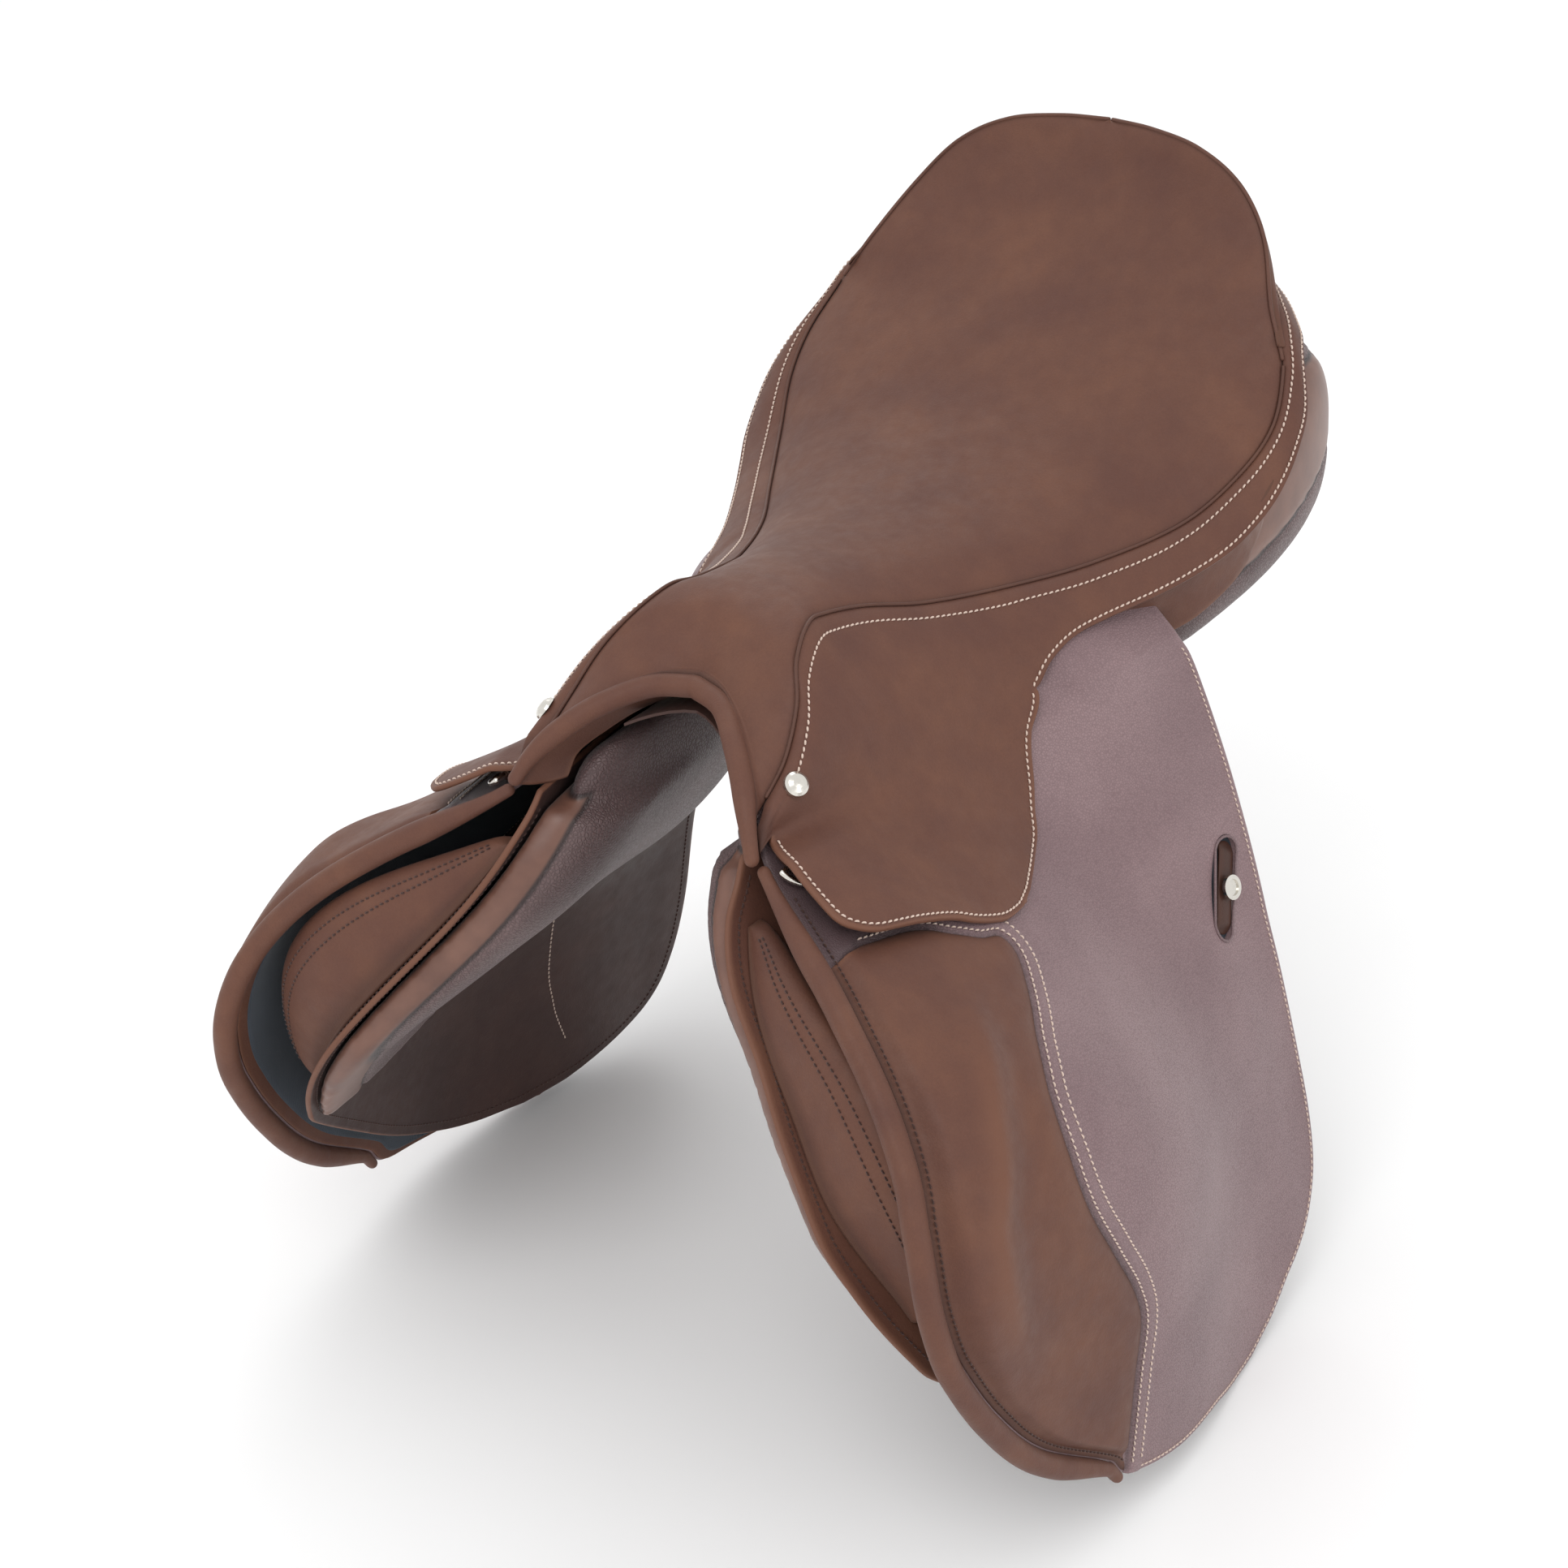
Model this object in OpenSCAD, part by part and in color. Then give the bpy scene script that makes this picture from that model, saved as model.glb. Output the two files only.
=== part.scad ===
/* [Seat] */
// Length from the pommel edge to the top of the cantle, measured along the back
seat_len = 370; // [362:1:378]
// Half width of the seat at its widest seam
seat_half = 137; // [132:1:140]
// Half width of the seat at the waist
waist_half = 37; // [35:1:40]
// Height of the cantle above the rack
cantle_top = 233; // [225:1:240]
// Thickness of the seat leather
cover_t = 2.4; // [1.8:0.1:2.8]
// Thickness of the seat foam
foam_t = 14; // [10:1:16]

/* [Flaps] */
// How far the front of a flap stands out over its knee block
front_flare = 162; // [156:1:168]
// Thickness of the flap leather
flap_t = 3; // [2.5:0.1:3.4]
// Thickness of the flap lining
lining_t = 1.2; // [0.8:0.1:1.4]
// Radius of the roll along the front of a flap
roll_r = 6.5; // [5:0.5:7]
// How far the rear of each flap stands out from its fold
rear_stand = 18; // [16:1:20]
// Gap left for the girth billets at the rear of a flap
billet_gap = 21; // [20:1:24]

/* [Skirts] */
// Thickness of the skirt leather
skirt_t = 2.8; // [2:0.1:3]
// How far the skirt front stands off the flap
skirt_lift = 9; // [6:1:10]

/* [Billets] */
// Width of a girth billet
billet_w = 25; // [22:1:26]
// Thickness of a girth billet
billet_t = 3.2; // [2.6:0.1:3.4]
// Radius of a punched billet hole
billet_hole_r = 2.75; // [2.2:0.05:3]
// Distance between billet holes
hole_pitch = 25; // [22:1:26]

/* [Metal] */
// Radius of a stirrup bar
bar_r = 4.5; // [4:0.1:4.8]
// Radius of a catch pin
pin_r = 1.6; // [1.2:0.1:1.8]
// Radius of the wire of a front dee
dee_wire_r = 1.6; // [1.4:0.1:1.8]
// Radius of a head nail
nail_r = 6; // [5:0.5:7]

/* [Hidden] */

smooth_brown = [0.46, 0.32, 0.27];
grain_brown = [0.53, 0.44, 0.46];
dark_brown = [0.27, 0.18, 0.16];
steel = [0.72, 0.73, 0.75];

// The top line of a flap's outer face on the near side, front end and rear end
hinge_front = [65, -191, 40];
hinge_rear = [115.5, 75, 43.5];

// ---- curves and blends ----

function unit(v) = v / norm(v);

function ease(a, b, x) =
    let (t = min(1, max(0, (x - a) / (b - a))))
    t * t * (3 - 2 * t);

function segment(p, x, i = 0) = (i >= len(p) - 2 || x < p[i + 1][0]) ? i : segment(p, x, i + 1);

function slope(p, i) =
    let (a = max(0, i - 1), b = min(len(p) - 1, i + 1))
    (p[b][1] - p[a][1]) / (p[b][0] - p[a][0]);

// Smooth curve through [key, value] pairs; a value is a number or a point
function curve(p, x) =
    let (i = segment(p, x),
        h = p[i + 1][0] - p[i][0],
        s = min(1, max(0, (x - p[i][0]) / h)),
        s2 = s * s,
        s3 = s2 * s)
    (2 * s3 - 3 * s2 + 1) * p[i][1] + (s3 - 2 * s2 + s) * h * slope(p, i)
    + (3 * s2 - 2 * s3) * p[i + 1][1] + (s3 - s2) * h * slope(p, i + 1);

function mix(a, b, s) = a + (b - a) * s;

function steps(first, step, last) = [for (t = [first : step : last]) t];

// ---- solids from grids and rings of points ----

// Closed solid between two grids of points with the same rows and columns
module slab(a, b) {
    r = len(a);
    c = len(a[0]);
    n = r * c;
    flip = cross(a[1][1] - a[0][1], a[0][2] - a[0][1]) * (a[0][1] - b[0][1]) > 0;
    points = flip ? concat([for (row = a) each row], [for (row = b) each row])
        : concat([for (row = b) each row], [for (row = a) each row]);
    top = [for (i = [0 : r - 2], j = [0 : c - 2]) each
        [[i * c + j, i * c + j + 1, (i + 1) * c + j + 1], [i * c + j, (i + 1) * c + j + 1, (i + 1) * c + j]]];
    under = [for (f = top) [f[2] + n, f[1] + n, f[0] + n]];
    rim = concat(
        [for (j = [0 : c - 2]) j],
        [for (i = [0 : r - 2]) i * c + c - 1],
        [for (j = [c - 1 : -1 : 1]) (r - 1) * c + j],
        [for (i = [r - 1 : -1 : 1]) i * c]);
    m = len(rim);
    edge = [for (k = [0 : m - 1]) let (p = rim[k], q = rim[(k + 1) % m]) each [[q, p, p + n], [q, p + n, q + n]]];
    polyhedron(points = points, faces = concat(top, under, edge), convexity = 6);
}

// Closed solid through rings of points, with a flat fan at each end
module loft(rings) {
    r = len(rings);
    c = len(rings[0]);
    mid = [for (k = [0, r - 1]) [for (a = [0 : 2]) [for (p = rings[k]) p[a]] * [for (p = rings[k]) 1] / c]];
    points = concat([for (ring = rings) each ring], mid);
    side = [for (i = [0 : r - 2], j = [0 : c - 1]) let (k = (j + 1) % c) each
        [[(i + 1) * c + k, i * c + k, i * c + j], [(i + 1) * c + j, (i + 1) * c + k, i * c + j]]];
    ends = [for (j = [0 : c - 1]) let (k = (j + 1) % c) each
        [[j, k, r * c], [(r - 1) * c + k, (r - 1) * c + j, r * c + 1]]];
    polyhedron(points = points, faces = concat(side, ends), convexity = 6);
}

// Rings of a tube along a path; radii holds one radius for each point
function tube_rings(path, radii, sides, up) =
    let (last = len(path) - 1)
    [for (i = [0 : last])
        let (along = unit(path[min(last, i + 1)] - path[max(0, i - 1)]),
            across = unit(cross(along, up)),
            lift = cross(across, along))
        [for (k = [0 : sides - 1])
            let (a = -360 * k / sides)
            path[i] + radii[i] * (across * cos(a) + lift * sin(a))]];

module tube(path, radii, sides = 10, up = [0, 0, 1]) {
    loft(tube_rings(path, radii, sides, up));
}

module both_sides() {
    children();
    mirror([1, 0, 0]) children();
}

// ---- the side surfaces ----

function hinge_at(y) = mix(hinge_front, hinge_rear, (y - hinge_front[1]) / (hinge_rear[1] - hinge_front[1]));
function flare_front(t) = front_flare * (1 - exp(-pow(max(t, 0) / 62, 1.4)));
function flare_rear(t) = 0.36 * t - 0.0002 * t * t;
function sweat_front(t) = 0.926 * front_flare * (1 - exp(-pow(max(t, 0) / 132, 1.9)));
function front_share(y, t) = let (k = ease(0, 200, t)) ease(-20 + 110 * k, -235 + 85 * k, y);
// How far the rear of a side sheet stands out from the fold over the panel
function stand_out(y) = rear_stand * ease(-70, 30, y);

// Point of a flap's outer face: y along the saddle, t down from the hinge line
function flap_point(y, t) =
    let (h = hinge_at(y), w = front_share(y, t))
    [h[0] + w * flare_front(t) + (1 - w) * (flare_rear(t) + stand_out(y)), y, h[2] - t];
function sweat_point(y, t) =
    let (h = hinge_at(y), w = front_share(y, t))
    [h[0] - 9 + w * (sweat_front(t) + 4)
        + (1 - w) * (flare_rear(t) - billet_gap + 9 - 0.02 * t + stand_out(y) * ease(0, 90, t)), y, h[2] - t];

function flap_normal(y, t) =
    unit(cross(flap_point(y, t) - flap_point(y, t + 2), flap_point(y + 2, t) - flap_point(y, t)));
function sweat_normal(y, t) =
    unit(cross(sweat_point(y, t) - sweat_point(y, t + 2), sweat_point(y + 2, t) - sweat_point(y, t)));
function on_flap(y, t, out) = flap_point(y, t) - flap_normal(y, t) * out;
function on_sweat(y, t, out) = sweat_point(y, t) - sweat_normal(y, t) * out;

// Grid over a side surface: each row is one drop t, between a front and a rear outline
function side_grid(drops, columns, front, rear, place) =
    [for (t = drops) [for (j = [0 : columns]) let (y = mix(curve(front, t), curve(rear, t), j / columns)) place(y, t)]];

// ---- outlines, as [drop, y] pairs ----

flap_front = [[0, -190], [10, -198], [31, -214], [51, -231], [76, -248], [94, -258], [110, -266], [135, -272],
    [157, -271], [176, -266], [213, -248], [251, -221], [291, -175], [306, -162], [317, -125], [324, -86],
    [331, -62], [334, -40]];
flap_rear = [[0, 61], [11, 65], [33, 67], [55, 68], [78, 68.4], [121, 67.6], [162, 65], [192, 61.6], [219, 60],
    [245, 58.4], [268, 54.6], [282, 49.4], [295, 40], [302, 31.5], [308, 21], [314, 9], [321, -2], [327, -13],
    [331, -25], [334, -36]];
sweat_fore = [[0, -190], [16, -202], [28, -215], [48, -229], [75, -241], [98, -254], [118, -263], [137, -269],
    [156, -268], [174, -264], [194, -256], [206, -249], [250, -202], [279, -167], [301, -132], [314, -100], [321, -62]];
sweat_aft = [[0, 56], [60, 48], [110, 45], [162, 45], [199, 50], [245, 53], [282, 47], [305, 32], [315, 6], [321, -50]];
pad_top_drop = 33;
pad_rear = [[33, -200], [39, -168], [48, -149], [54, -138], [58, -128], [65, -128], [72, -141], [81, -161],
    [95, -177], [117, -183], [144, -181], [176, -169], [199, -159], [220, -154], [248, -158], [279, -162],
    [302, -165]];
skirt_fore = [[0, -190], [2, -191], [14, -197.5], [23, -201.5], [28, -203], [31, -201], [35, -193], [37.6, -181.5],
    [40, -170], [45, -151], [50, -139], [55, -126], [58, -117], [61, -101]];
skirt_aft = [[0, -26], [7, -33], [18, -38], [34, -44], [44, -51], [53, -60], [57.6, -74], [60, -88], [61, -97]];

flap_drops = concat([3, 9], steps(17, 10, 57), steps(70, 16, 278), [289, 300, 310, 319, 326, 330.5, 333]);
sweat_drops = concat(steps(8, 16, 280), [291, 301, 309, 315, 319.5]);
skirt_drops = [1.6, 3.5, 6, 10, 14, 18, 22, 26, 30, 33, 37, 42, 47, 52, 56, 60];

// ---- the seat ----

// Stations from the pommel to the cantle: [share, seam point, centre line y and z]
seat_stations = [
    [0, [61, -184, 55], [-142, 84]], [5, [60, -165, 67], [-135, 93]], [10, [55, -147, 84], [-127, 101]],
    [15, [46, -133, 98], [-118, 107]], [20, [39, -113, 106], [-106, 110]], [25, [waist_half, -96, 103], [-94, 110]],
    [30, [41, -72, 97], [-72, 107]], [37, [53, -39, 87], [-40, 101]], [46, [73, 7, 81], [0, 98]],
    [53, [95, 45, 82], [38, 101]], [61, [119, 89, 90], [75, 110]], [67, [133, 120, 107], [105, 122]],
    [72, [seat_half, 144, 123], [130, 137]], [77, [131, 165, 143], [152, 151]], [82, [117, 178, 168], [172, 165]],
    [88, [100, 201, 196], [190, 180]], [92, [81, 211, 216], [203, 195]], [96, [54, 217, 229], [213, 210]],
    [98.5, [25, 222, cantle_top], [seat_len - 151, 223]], [100, [6, 226, cantle_top], [seat_len - 145, 232]]];
seam_line = [for (s = seat_stations) [s[0], s[1]]];
centre_line = [for (s = seat_stations) [s[0], s[2]]];

// Point of the seat's upper face: v runs from pommel to cantle, u from the centre (0) to the seam (1 or -1)
function seat_point(v, u, down = 0) =
    let (e = curve(seam_line, v),
        c = curve(centre_line, v),
        a = abs(u))
    [u * e[0], mix(c[0], e[1], pow(a, v < 20 ? 1.5 : 2)), mix(c[1], e[2], pow(a, 2.3)) - down];

seat_rows = concat(steps(0, 4, 92), [94.5, 97, 98.5, 99.5]);
function seat_grid(down) = [for (v = seat_rows) [for (k = [-8 : 8]) seat_point(v, k / 8, down)]];

module seat_cover() {
    color(smooth_brown) slab(seat_grid(0), seat_grid(cover_t));
}

// The foam stays inside the cover, short of its seams
module seat_foam() {
    rows = [for (v = seat_rows) if (v > 6 && v < 98) v];
    top = [for (v = rows) [for (k = [-4 : 4]) seat_point(v, 0.93 * k / 4, cover_t + 2)]];
    base = [for (v = rows) [for (k = [-4 : 4])
        seat_point(v, 0.93 * k / 4, cover_t + 2 + foam_t * (1 - 0.1 * abs(k)))]];
    color("khaki") slab(top, base);
}

// Two long webs that carry the foam
module seat_webbing() {
    color("tan") for (side = [-1, 1])
        slab([for (v = [26 : 6 : 86]) [for (k = [-1 : 1]) seat_point(v, side * 0.28 + 0.16 * k, foam_t + 8)]],
            [for (v = [26 : 6 : 86]) [for (k = [-1 : 1]) seat_point(v, side * 0.28 + 0.16 * k, foam_t + 9.5)]]);
}

// ---- skirts ----

// Outer edge of the strip that runs from the skirt round to the back of the cantle
strip_edge = [[0, [68, -188, 42.5]], [20, [81, -126, 43]], [37, [91, -70, 43.6]], [44, [99, -30, 44]],
    [46, [99, -16, 56]], [49, [104, 5, 61]], [53, [112, 27, 63]], [57, [125, 53, 67]], [61, [135, 72, 72]],
    [65, [145, 92, 80]], [68, [151, 112, 91]], [71, [153, 128, 102]], [74, [151, 146, 114]], [77, [146, 163, 125]],
    [80, [135, 180, 143]], [84, [124, 198, 150]], [90, [96, 226, 158]], [95, [57, 244, 163]], [100, [4, 250, 165]]];
// Inner edge: the seat seam, then on round under the back of the cantle
strip_seam = concat([for (s = seat_stations) if (s[0] <= 77) [s[0], s[1]]],
    [[80, [125, 172, 155]], [84, [114, 188, 166]], [90, [89, 214, 178]], [95, [53, 231, 184]], [100, [4, 237, 186]]]);

function strip_point(v, u, out) =
    let (a = curve(strip_seam, v), b = curve(strip_edge, v), swell = 7 * sin(180 * u) * (1 - ease(35, 52, v)))
    mix(a, b, u) + [0.62, 0, 0.78] * (swell + out);

strip_rows = concat(steps(0.5, 3, 40), [43], steps(46, 2.5, 80), [84, 88, 92, 96, 99.4]);
module skirt_strip() {
    color(smooth_brown)
        slab([for (v = strip_rows) [for (k = [0 : 6]) strip_point(v, 0.08 + 0.9 * k / 6, 0)]],
            [for (v = strip_rows) [for (k = [0 : 6]) strip_point(v, 0.08 + 0.9 * k / 6, -skirt_t)]]);
}
module skirt_strip_near() { skirt_strip(); }
module skirt_strip_off() { mirror([1, 0, 0]) skirt_strip(); }

function skirt_stand(y, t) = skirt_t + 1.5 + skirt_lift * ease(-120, -185, y) * ease(0, 14, t);
module skirt() {
    outer = side_grid(skirt_drops, 10, skirt_fore, skirt_aft, function (y, t) on_flap(y, t, skirt_stand(y, t)));
    inner = side_grid(skirt_drops, 10, skirt_fore, skirt_aft,
        function (y, t) on_flap(y, t, skirt_stand(y, t) - skirt_t));
    color(smooth_brown) slab(outer, inner);
}
module skirt_near() { skirt(); }
module skirt_off() { mirror([1, 0, 0]) skirt(); }

// Welt piped along the seat seam
module seat_welt() {
    path = [for (v = [3 : 3 : 78]) seat_point(v, 1, 0) + [1.6, 0, 2.2]];
    color(dark_brown) tube(path, [for (p = path) 1.6], 8);
}
module seat_welt_near() { seat_welt(); }
module seat_welt_off() { mirror([1, 0, 0]) seat_welt(); }

// ---- flaps ----

module flap() {
    color(grain_brown) difference() {
        slab(side_grid(flap_drops, 8, flap_front, flap_rear, function (y, t) on_flap(y, t, 0)),
            side_grid(flap_drops, 8, flap_front, flap_rear, function (y, t) on_flap(y, t, -flap_t)));
        keeper_slot();
    }
}
module flap_near() { flap(); }
module flap_off() { mirror([1, 0, 0]) flap(); }

module flap_lining() {
    drops = [for (t = flap_drops) if (t > 10) t];
    color("darkslategray")
        slab(side_grid(drops, 8, flap_front, flap_rear, function (y, t) on_flap(y, t, -flap_t - 0.3)),
            side_grid(drops, 8, flap_front, flap_rear, function (y, t) on_flap(y, t, -flap_t - 0.3 - lining_t)));
}
module flap_lining_near() { flap_lining(); }
module flap_lining_off() { mirror([1, 0, 0]) flap_lining(); }

// Padded panel sewn on the flap over the knee
module knee_pad() {
    drops = concat(steps(pad_top_drop + 2, 13, 295), [300]);
    fore = [for (p = flap_front) [p[0], p[1] + 4]];
    aft = [for (p = pad_rear) [p[0], p[1] - 2]];
    function puff(y, t) =
        let (a = curve(fore, t), b = curve(aft, t), s = (y - a) / (b - a))
        2 + 7 * sqrt(max(0, 4 * s * (1 - s))) * ease(30, 60, t) * ease(310, 240, t);
    color(smooth_brown)
        slab(side_grid(drops, 8, fore, aft, function (y, t) on_flap(y, t, 1.6 + puff(y, t))),
            side_grid(drops, 8, fore, aft, function (y, t) on_flap(y, t, 1.6)));
}
module knee_pad_near() { knee_pad(); }
module knee_pad_off() { mirror([1, 0, 0]) knee_pad(); }

// Roll stuffed along the front edge of the flap
module flap_roll() {
    drops = concat(steps(9, 13, 290), [299, 305]);
    radii = [for (t = drops) mix(roll_r, 2.5, ease(250, 305, t))];
    function slant(t) = min(2.4, norm([1, (curve(flap_front, t + 3) - curve(flap_front, t - 3)) / 6]));
    path = [for (i = [0 : len(drops) - 1]) let (t = drops[i])
        on_flap(curve(flap_front, t) - (radii[i] + 0.9) * slant(t), t, 0)];
    color(smooth_brown) tube(path, radii, 10, [1, 0, 0.4]);
}
module flap_roll_near() { flap_roll(); }
module flap_roll_off() { mirror([1, 0, 0]) flap_roll(); }

// The nailed head of the flap, above the fold
module flap_head() {
    function head_point(y, s, out) =
        let (h = hinge_at(y), k = stand_out(y) / rear_stand)
        [h[0] + 14.5 * k - s * mix(8, 18, k) + out, y, h[2] + 1 + s * (12 + 12 * ease(-10, 60, y))];
    ys = [-2 : 10.3 : 60];
    color(grain_brown)
        slab([for (s = [0, 0.5, 1]) [for (y = ys) head_point(y, s, 0)]],
            [for (s = [0, 0.5, 1]) [for (y = ys) head_point(y, s, -flap_t)]]);
}
module flap_head_near() { flap_head(); }
module flap_head_off() { mirror([1, 0, 0]) flap_head(); }

// ---- under the flaps ----

sweat_t = 3;
module sweat_flap() {
    color(dark_brown)
        slab(side_grid(sweat_drops, 8, sweat_fore, sweat_aft, function (y, t) on_sweat(y, t, 0)),
            side_grid(sweat_drops, 8, sweat_fore, sweat_aft, function (y, t) on_sweat(y, t, -sweat_t)));
}
module sweat_flap_near() { sweat_flap(); }
module sweat_flap_off() { mirror([1, 0, 0]) sweat_flap(); }

// Room between a point and the outer face of the flap
function room(p) =
    let (t = hinge_at(p[1])[2] - p[2])
    (flap_point(p[1], t)[0] - p[0]) * abs(flap_normal(p[1], t)[0]);
// Greatest height over the sweat flap that keeps clear of the flap and its roll, halving the range low to high
function fill(y, t, low, high, n = 8) =
    let (middle = (low + high) / 2)
    n == 0 ? low : room(on_sweat(y, t, middle)) > roll_r + 3.5 ? fill(y, t, middle, high, n - 1)
        : fill(y, t, low, middle, n - 1);

// A block on the outside of the sweat flap: drop range, front and rear outline and greatest height
module block(drops, fore, aft, rise) {
    function height(y, t, s) = 2 + max(1, (fill(y, t, 0, rise) - 2) * pow(max(0, 4 * s * (1 - s)), 0.35));
    outer = [for (i = [0 : len(drops) - 1]) let (t = drops[i], q = i / (len(drops) - 1))
        [for (j = [0 : 8]) let (s = 0.02 + 0.96 * j / 8, y = mix(curve(fore, t), curve(aft, t), j / 8))
            on_sweat(y, t, height(y, t, s) * (0.35 + 0.65 * pow(max(0, 4 * q * (1 - q)), 0.4)))]];
    inner = [for (t = drops) [for (j = [0 : 8]) on_sweat(mix(curve(fore, t), curve(aft, t), j / 8), t, 0.8)]];
    color(smooth_brown) slab(outer, inner);
}
module knee_block() {
    block(steps(34, 12, 178), [[30, -206], [60, -228], [90, -243], [130, -258], [180, -250]],
        [[30, -178], [60, -186], [100, -198], [140, -212], [180, -226]], 60);
}
module knee_block_near() { knee_block(); }
module knee_block_off() { mirror([1, 0, 0]) knee_block(); }

// Small block behind the leg, low on the rear of the sweat flap
module thigh_block() {
    block(steps(170, 13, 262), [[170, 7], [262, 2]], [[170, 33], [262, 24]], 11);
}
module thigh_block_near() { thigh_block(); }
module thigh_block_off() { mirror([1, 0, 0]) thigh_block(); }

// ---- panels ----

// Stations of the upper cushion: [y, [inner x, outer x, inner low z, outer low z, inner top z, outer top z]]
panel_stations = [
    [-188, [43, 53, 8, 2, 34, 30]], [-175, [38, 56, 2, -8, 46, 36]], [-140, [34, 61, 4, -10, 52, 34]],
    [-90, [32, 65, 10, -6, 50, 34]], [-30, [32, 73, 14, 0, 44, 34]], [30, [32, 83, 16, 2, 44, 36]], [62, [32, 92, 18, 3, 48, 42]],
    [90, [32, 110, 20, 4, 56, 50]], [150, [34, 120, 26, 6, 84, 78]], [200, [36, 122, 30, 8, 112, 112]],
    [245, [38, 116, 36, 14, 128, 124]], [275, [42, 104, 44, 26, 112, 104]], [294, [54, 88, 58, 46, 88, 78]]];
function panel_ring(y) =
    let (p = curve(panel_stations, y),
        mx = (p[0] + p[1]) / 2,
        rx = (p[1] - p[0]) / 2)
    [for (k = [0 : 17])
        let (a = -20 * k,
            c = sign(cos(a)) * pow(abs(cos(a)), 0.55),
            s = sign(sin(a)) * pow(abs(sin(a)), 0.55),
            low = mix(p[2], p[3], (c + 1) / 2),
            top = mix(p[4], p[5], (c + 1) / 2))
        [mx + rx * c, y, (low + top) / 2 + (top - low) / 2 * s]];

// How far down the sweat flap the front cushion reaches, from its front edge to its rear edge
reach = [[0, 200], [0.1, 206], [0.34, 208], [0.49, 203], [0.62, 186], [0.8, 160], [0.92, 146], [1, 138]];
function low_pad_point(s, q, inside) =
    let (t = 14 + (curve(reach, s) - 14) * q,
        y = mix(curve(sweat_fore, t) + 3, 40, s),
        round_edge = pow(max(0, 1 - pow(1 - min(1, s / 0.18), 2)), 0.5) * pow(min(1, (1 - s) / 0.12), 0.5),
        full = 5 + 30 * (1 - pow(q, 1.4)) * (0.25 + 0.75 * round_edge))
    on_sweat(y, t, -sweat_t - 1.5 - (inside ? full : 0));

module panel() {
    shares = [0, 0.04, 0.1, 0.18, 0.28, 0.4, 0.52, 0.64, 0.76, 0.88, 0.95, 1];
    color(dark_brown) {
        loft([for (y = concat([-188, -182], steps(-172, 26, 240), [256, 272, 284, 293])) panel_ring(y)]);
        slab([for (q = [0 : 0.1 : 1]) [for (s = shares) low_pad_point(s, q, false)]],
            [for (q = [0 : 0.1 : 1]) [for (s = shares) low_pad_point(s, q, true)]]);
    }
}
module panel_near() { panel(); }
module panel_off() { mirror([1, 0, 0]) panel(); }

// Lining of the channel under the head
module gullet_lining() {
    function lining_point(s, x, up) =
        [x, -148 - 16 * pow(abs(x) / 30, 1.4) + 100 * s, 65 - 7 * pow(abs(x) / 30, 2) - 5 * s + up];
    color("dimgray")
        slab([for (s = [0, 0.25, 0.5, 0.75, 1]) [for (x = [-30 : 6 : 30]) lining_point(s, x, 1.5)]],
            [for (s = [0, 0.25, 0.5, 0.75, 1]) [for (x = [-30 : 6 : 30]) lining_point(s, x, 0)]]);
}

// ---- the tree ----

// Part of a sheet that follows the seat, from row v0 to v1 and from u0 to u1, between two depths
module tree_sheet(v0, v1, u0, u1, high, low, n = 6) {
    rows = [for (i = [0 : n]) mix(v0, v1, i / n)];
    slab([for (v = rows) [for (k = [0 : 6]) seat_point(v, mix(u0, u1, k / 6), high)]],
        [for (v = rows) [for (k = [0 : 6]) seat_point(v, mix(u0, u1, k / 6), low)]]);
}

module tree_frame() {
    color("burlywood") {
        tree_sheet(12, 20, -0.86, 0.86, 24, 31, 3);
        both_sides() tree_sheet(20.4, 83.6, 0.5, 0.86, 24, 31, 14);
        tree_sheet(84, 95, -0.84, 0.84, 24, 31, 4);
    }
}

module head_plate() { color(steel) tree_sheet(12.5, 19, -0.84, 0.84, 21, 23.6, 3); }
module gullet_plate() { color(steel) tree_sheet(12.5, 18, -0.8, 0.8, 31.8, 34, 3); }
module tree_spring_near() { color(steel) tree_sheet(20.5, 83.5, 0.58, 0.76, 31.9, 33.6, 14); }
module tree_spring_off() { mirror([1, 0, 0]) tree_spring_near(); }

// ---- stirrup bars ----

bar_x = 58;
bar_z = 57;
bar_front = -140;
bar_rear = -76;
plate_x = 45;
plate_t = 3;
catch_y = -66;
rivet_places = [[-124, 67], [-88, 67]];
pin_fit = 0.05;

module along_x(x0, x1, r, y, z, sides = 32) {
    translate([x0, y, z]) rotate([0, 90, 0]) cylinder(r = r, h = x1 - x0, $fn = sides);
}

module stirrup_bar_near() {
    color(steel) difference() {
        union() {
            translate([plate_x, bar_front, 52]) cube([plate_t, catch_y + 7 - bar_front, 20]);
            translate([plate_x, bar_front, 51.5]) cube([bar_x - plate_x, 9, 11]);
            translate([bar_x, bar_front, bar_z]) rotate([-90, 0, 0])
                cylinder(r = bar_r, h = bar_rear - bar_front, $fn = 48);
        }
        for (p = rivet_places) along_x(plate_x - 1, plate_x + plate_t + 1, 2.3, p[0], p[1]);
        along_x(plate_x - 1, plate_x + plate_t + 1, pin_r + 0.02, catch_y, bar_z);
    }
}
module stirrup_bar_off() { mirror([1, 0, 0]) stirrup_bar_near(); }

module bar_rivets() {
    color(steel) both_sides() for (p = rivet_places) {
        along_x(plate_x - 2, plate_x + plate_t + 0.4, 2.25, p[0], p[1]);
        along_x(plate_x + plate_t + 0.1, plate_x + plate_t + 1.8, 4, p[0], p[1]);
    }
}

module catch_pins() {
    color(steel) both_sides() {
        along_x(plate_x - 1.5, bar_x + 4.5, pin_r, catch_y, bar_z);
        along_x(bar_x + 3.9, bar_x + 5, 3, catch_y, bar_z);
    }
}

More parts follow.
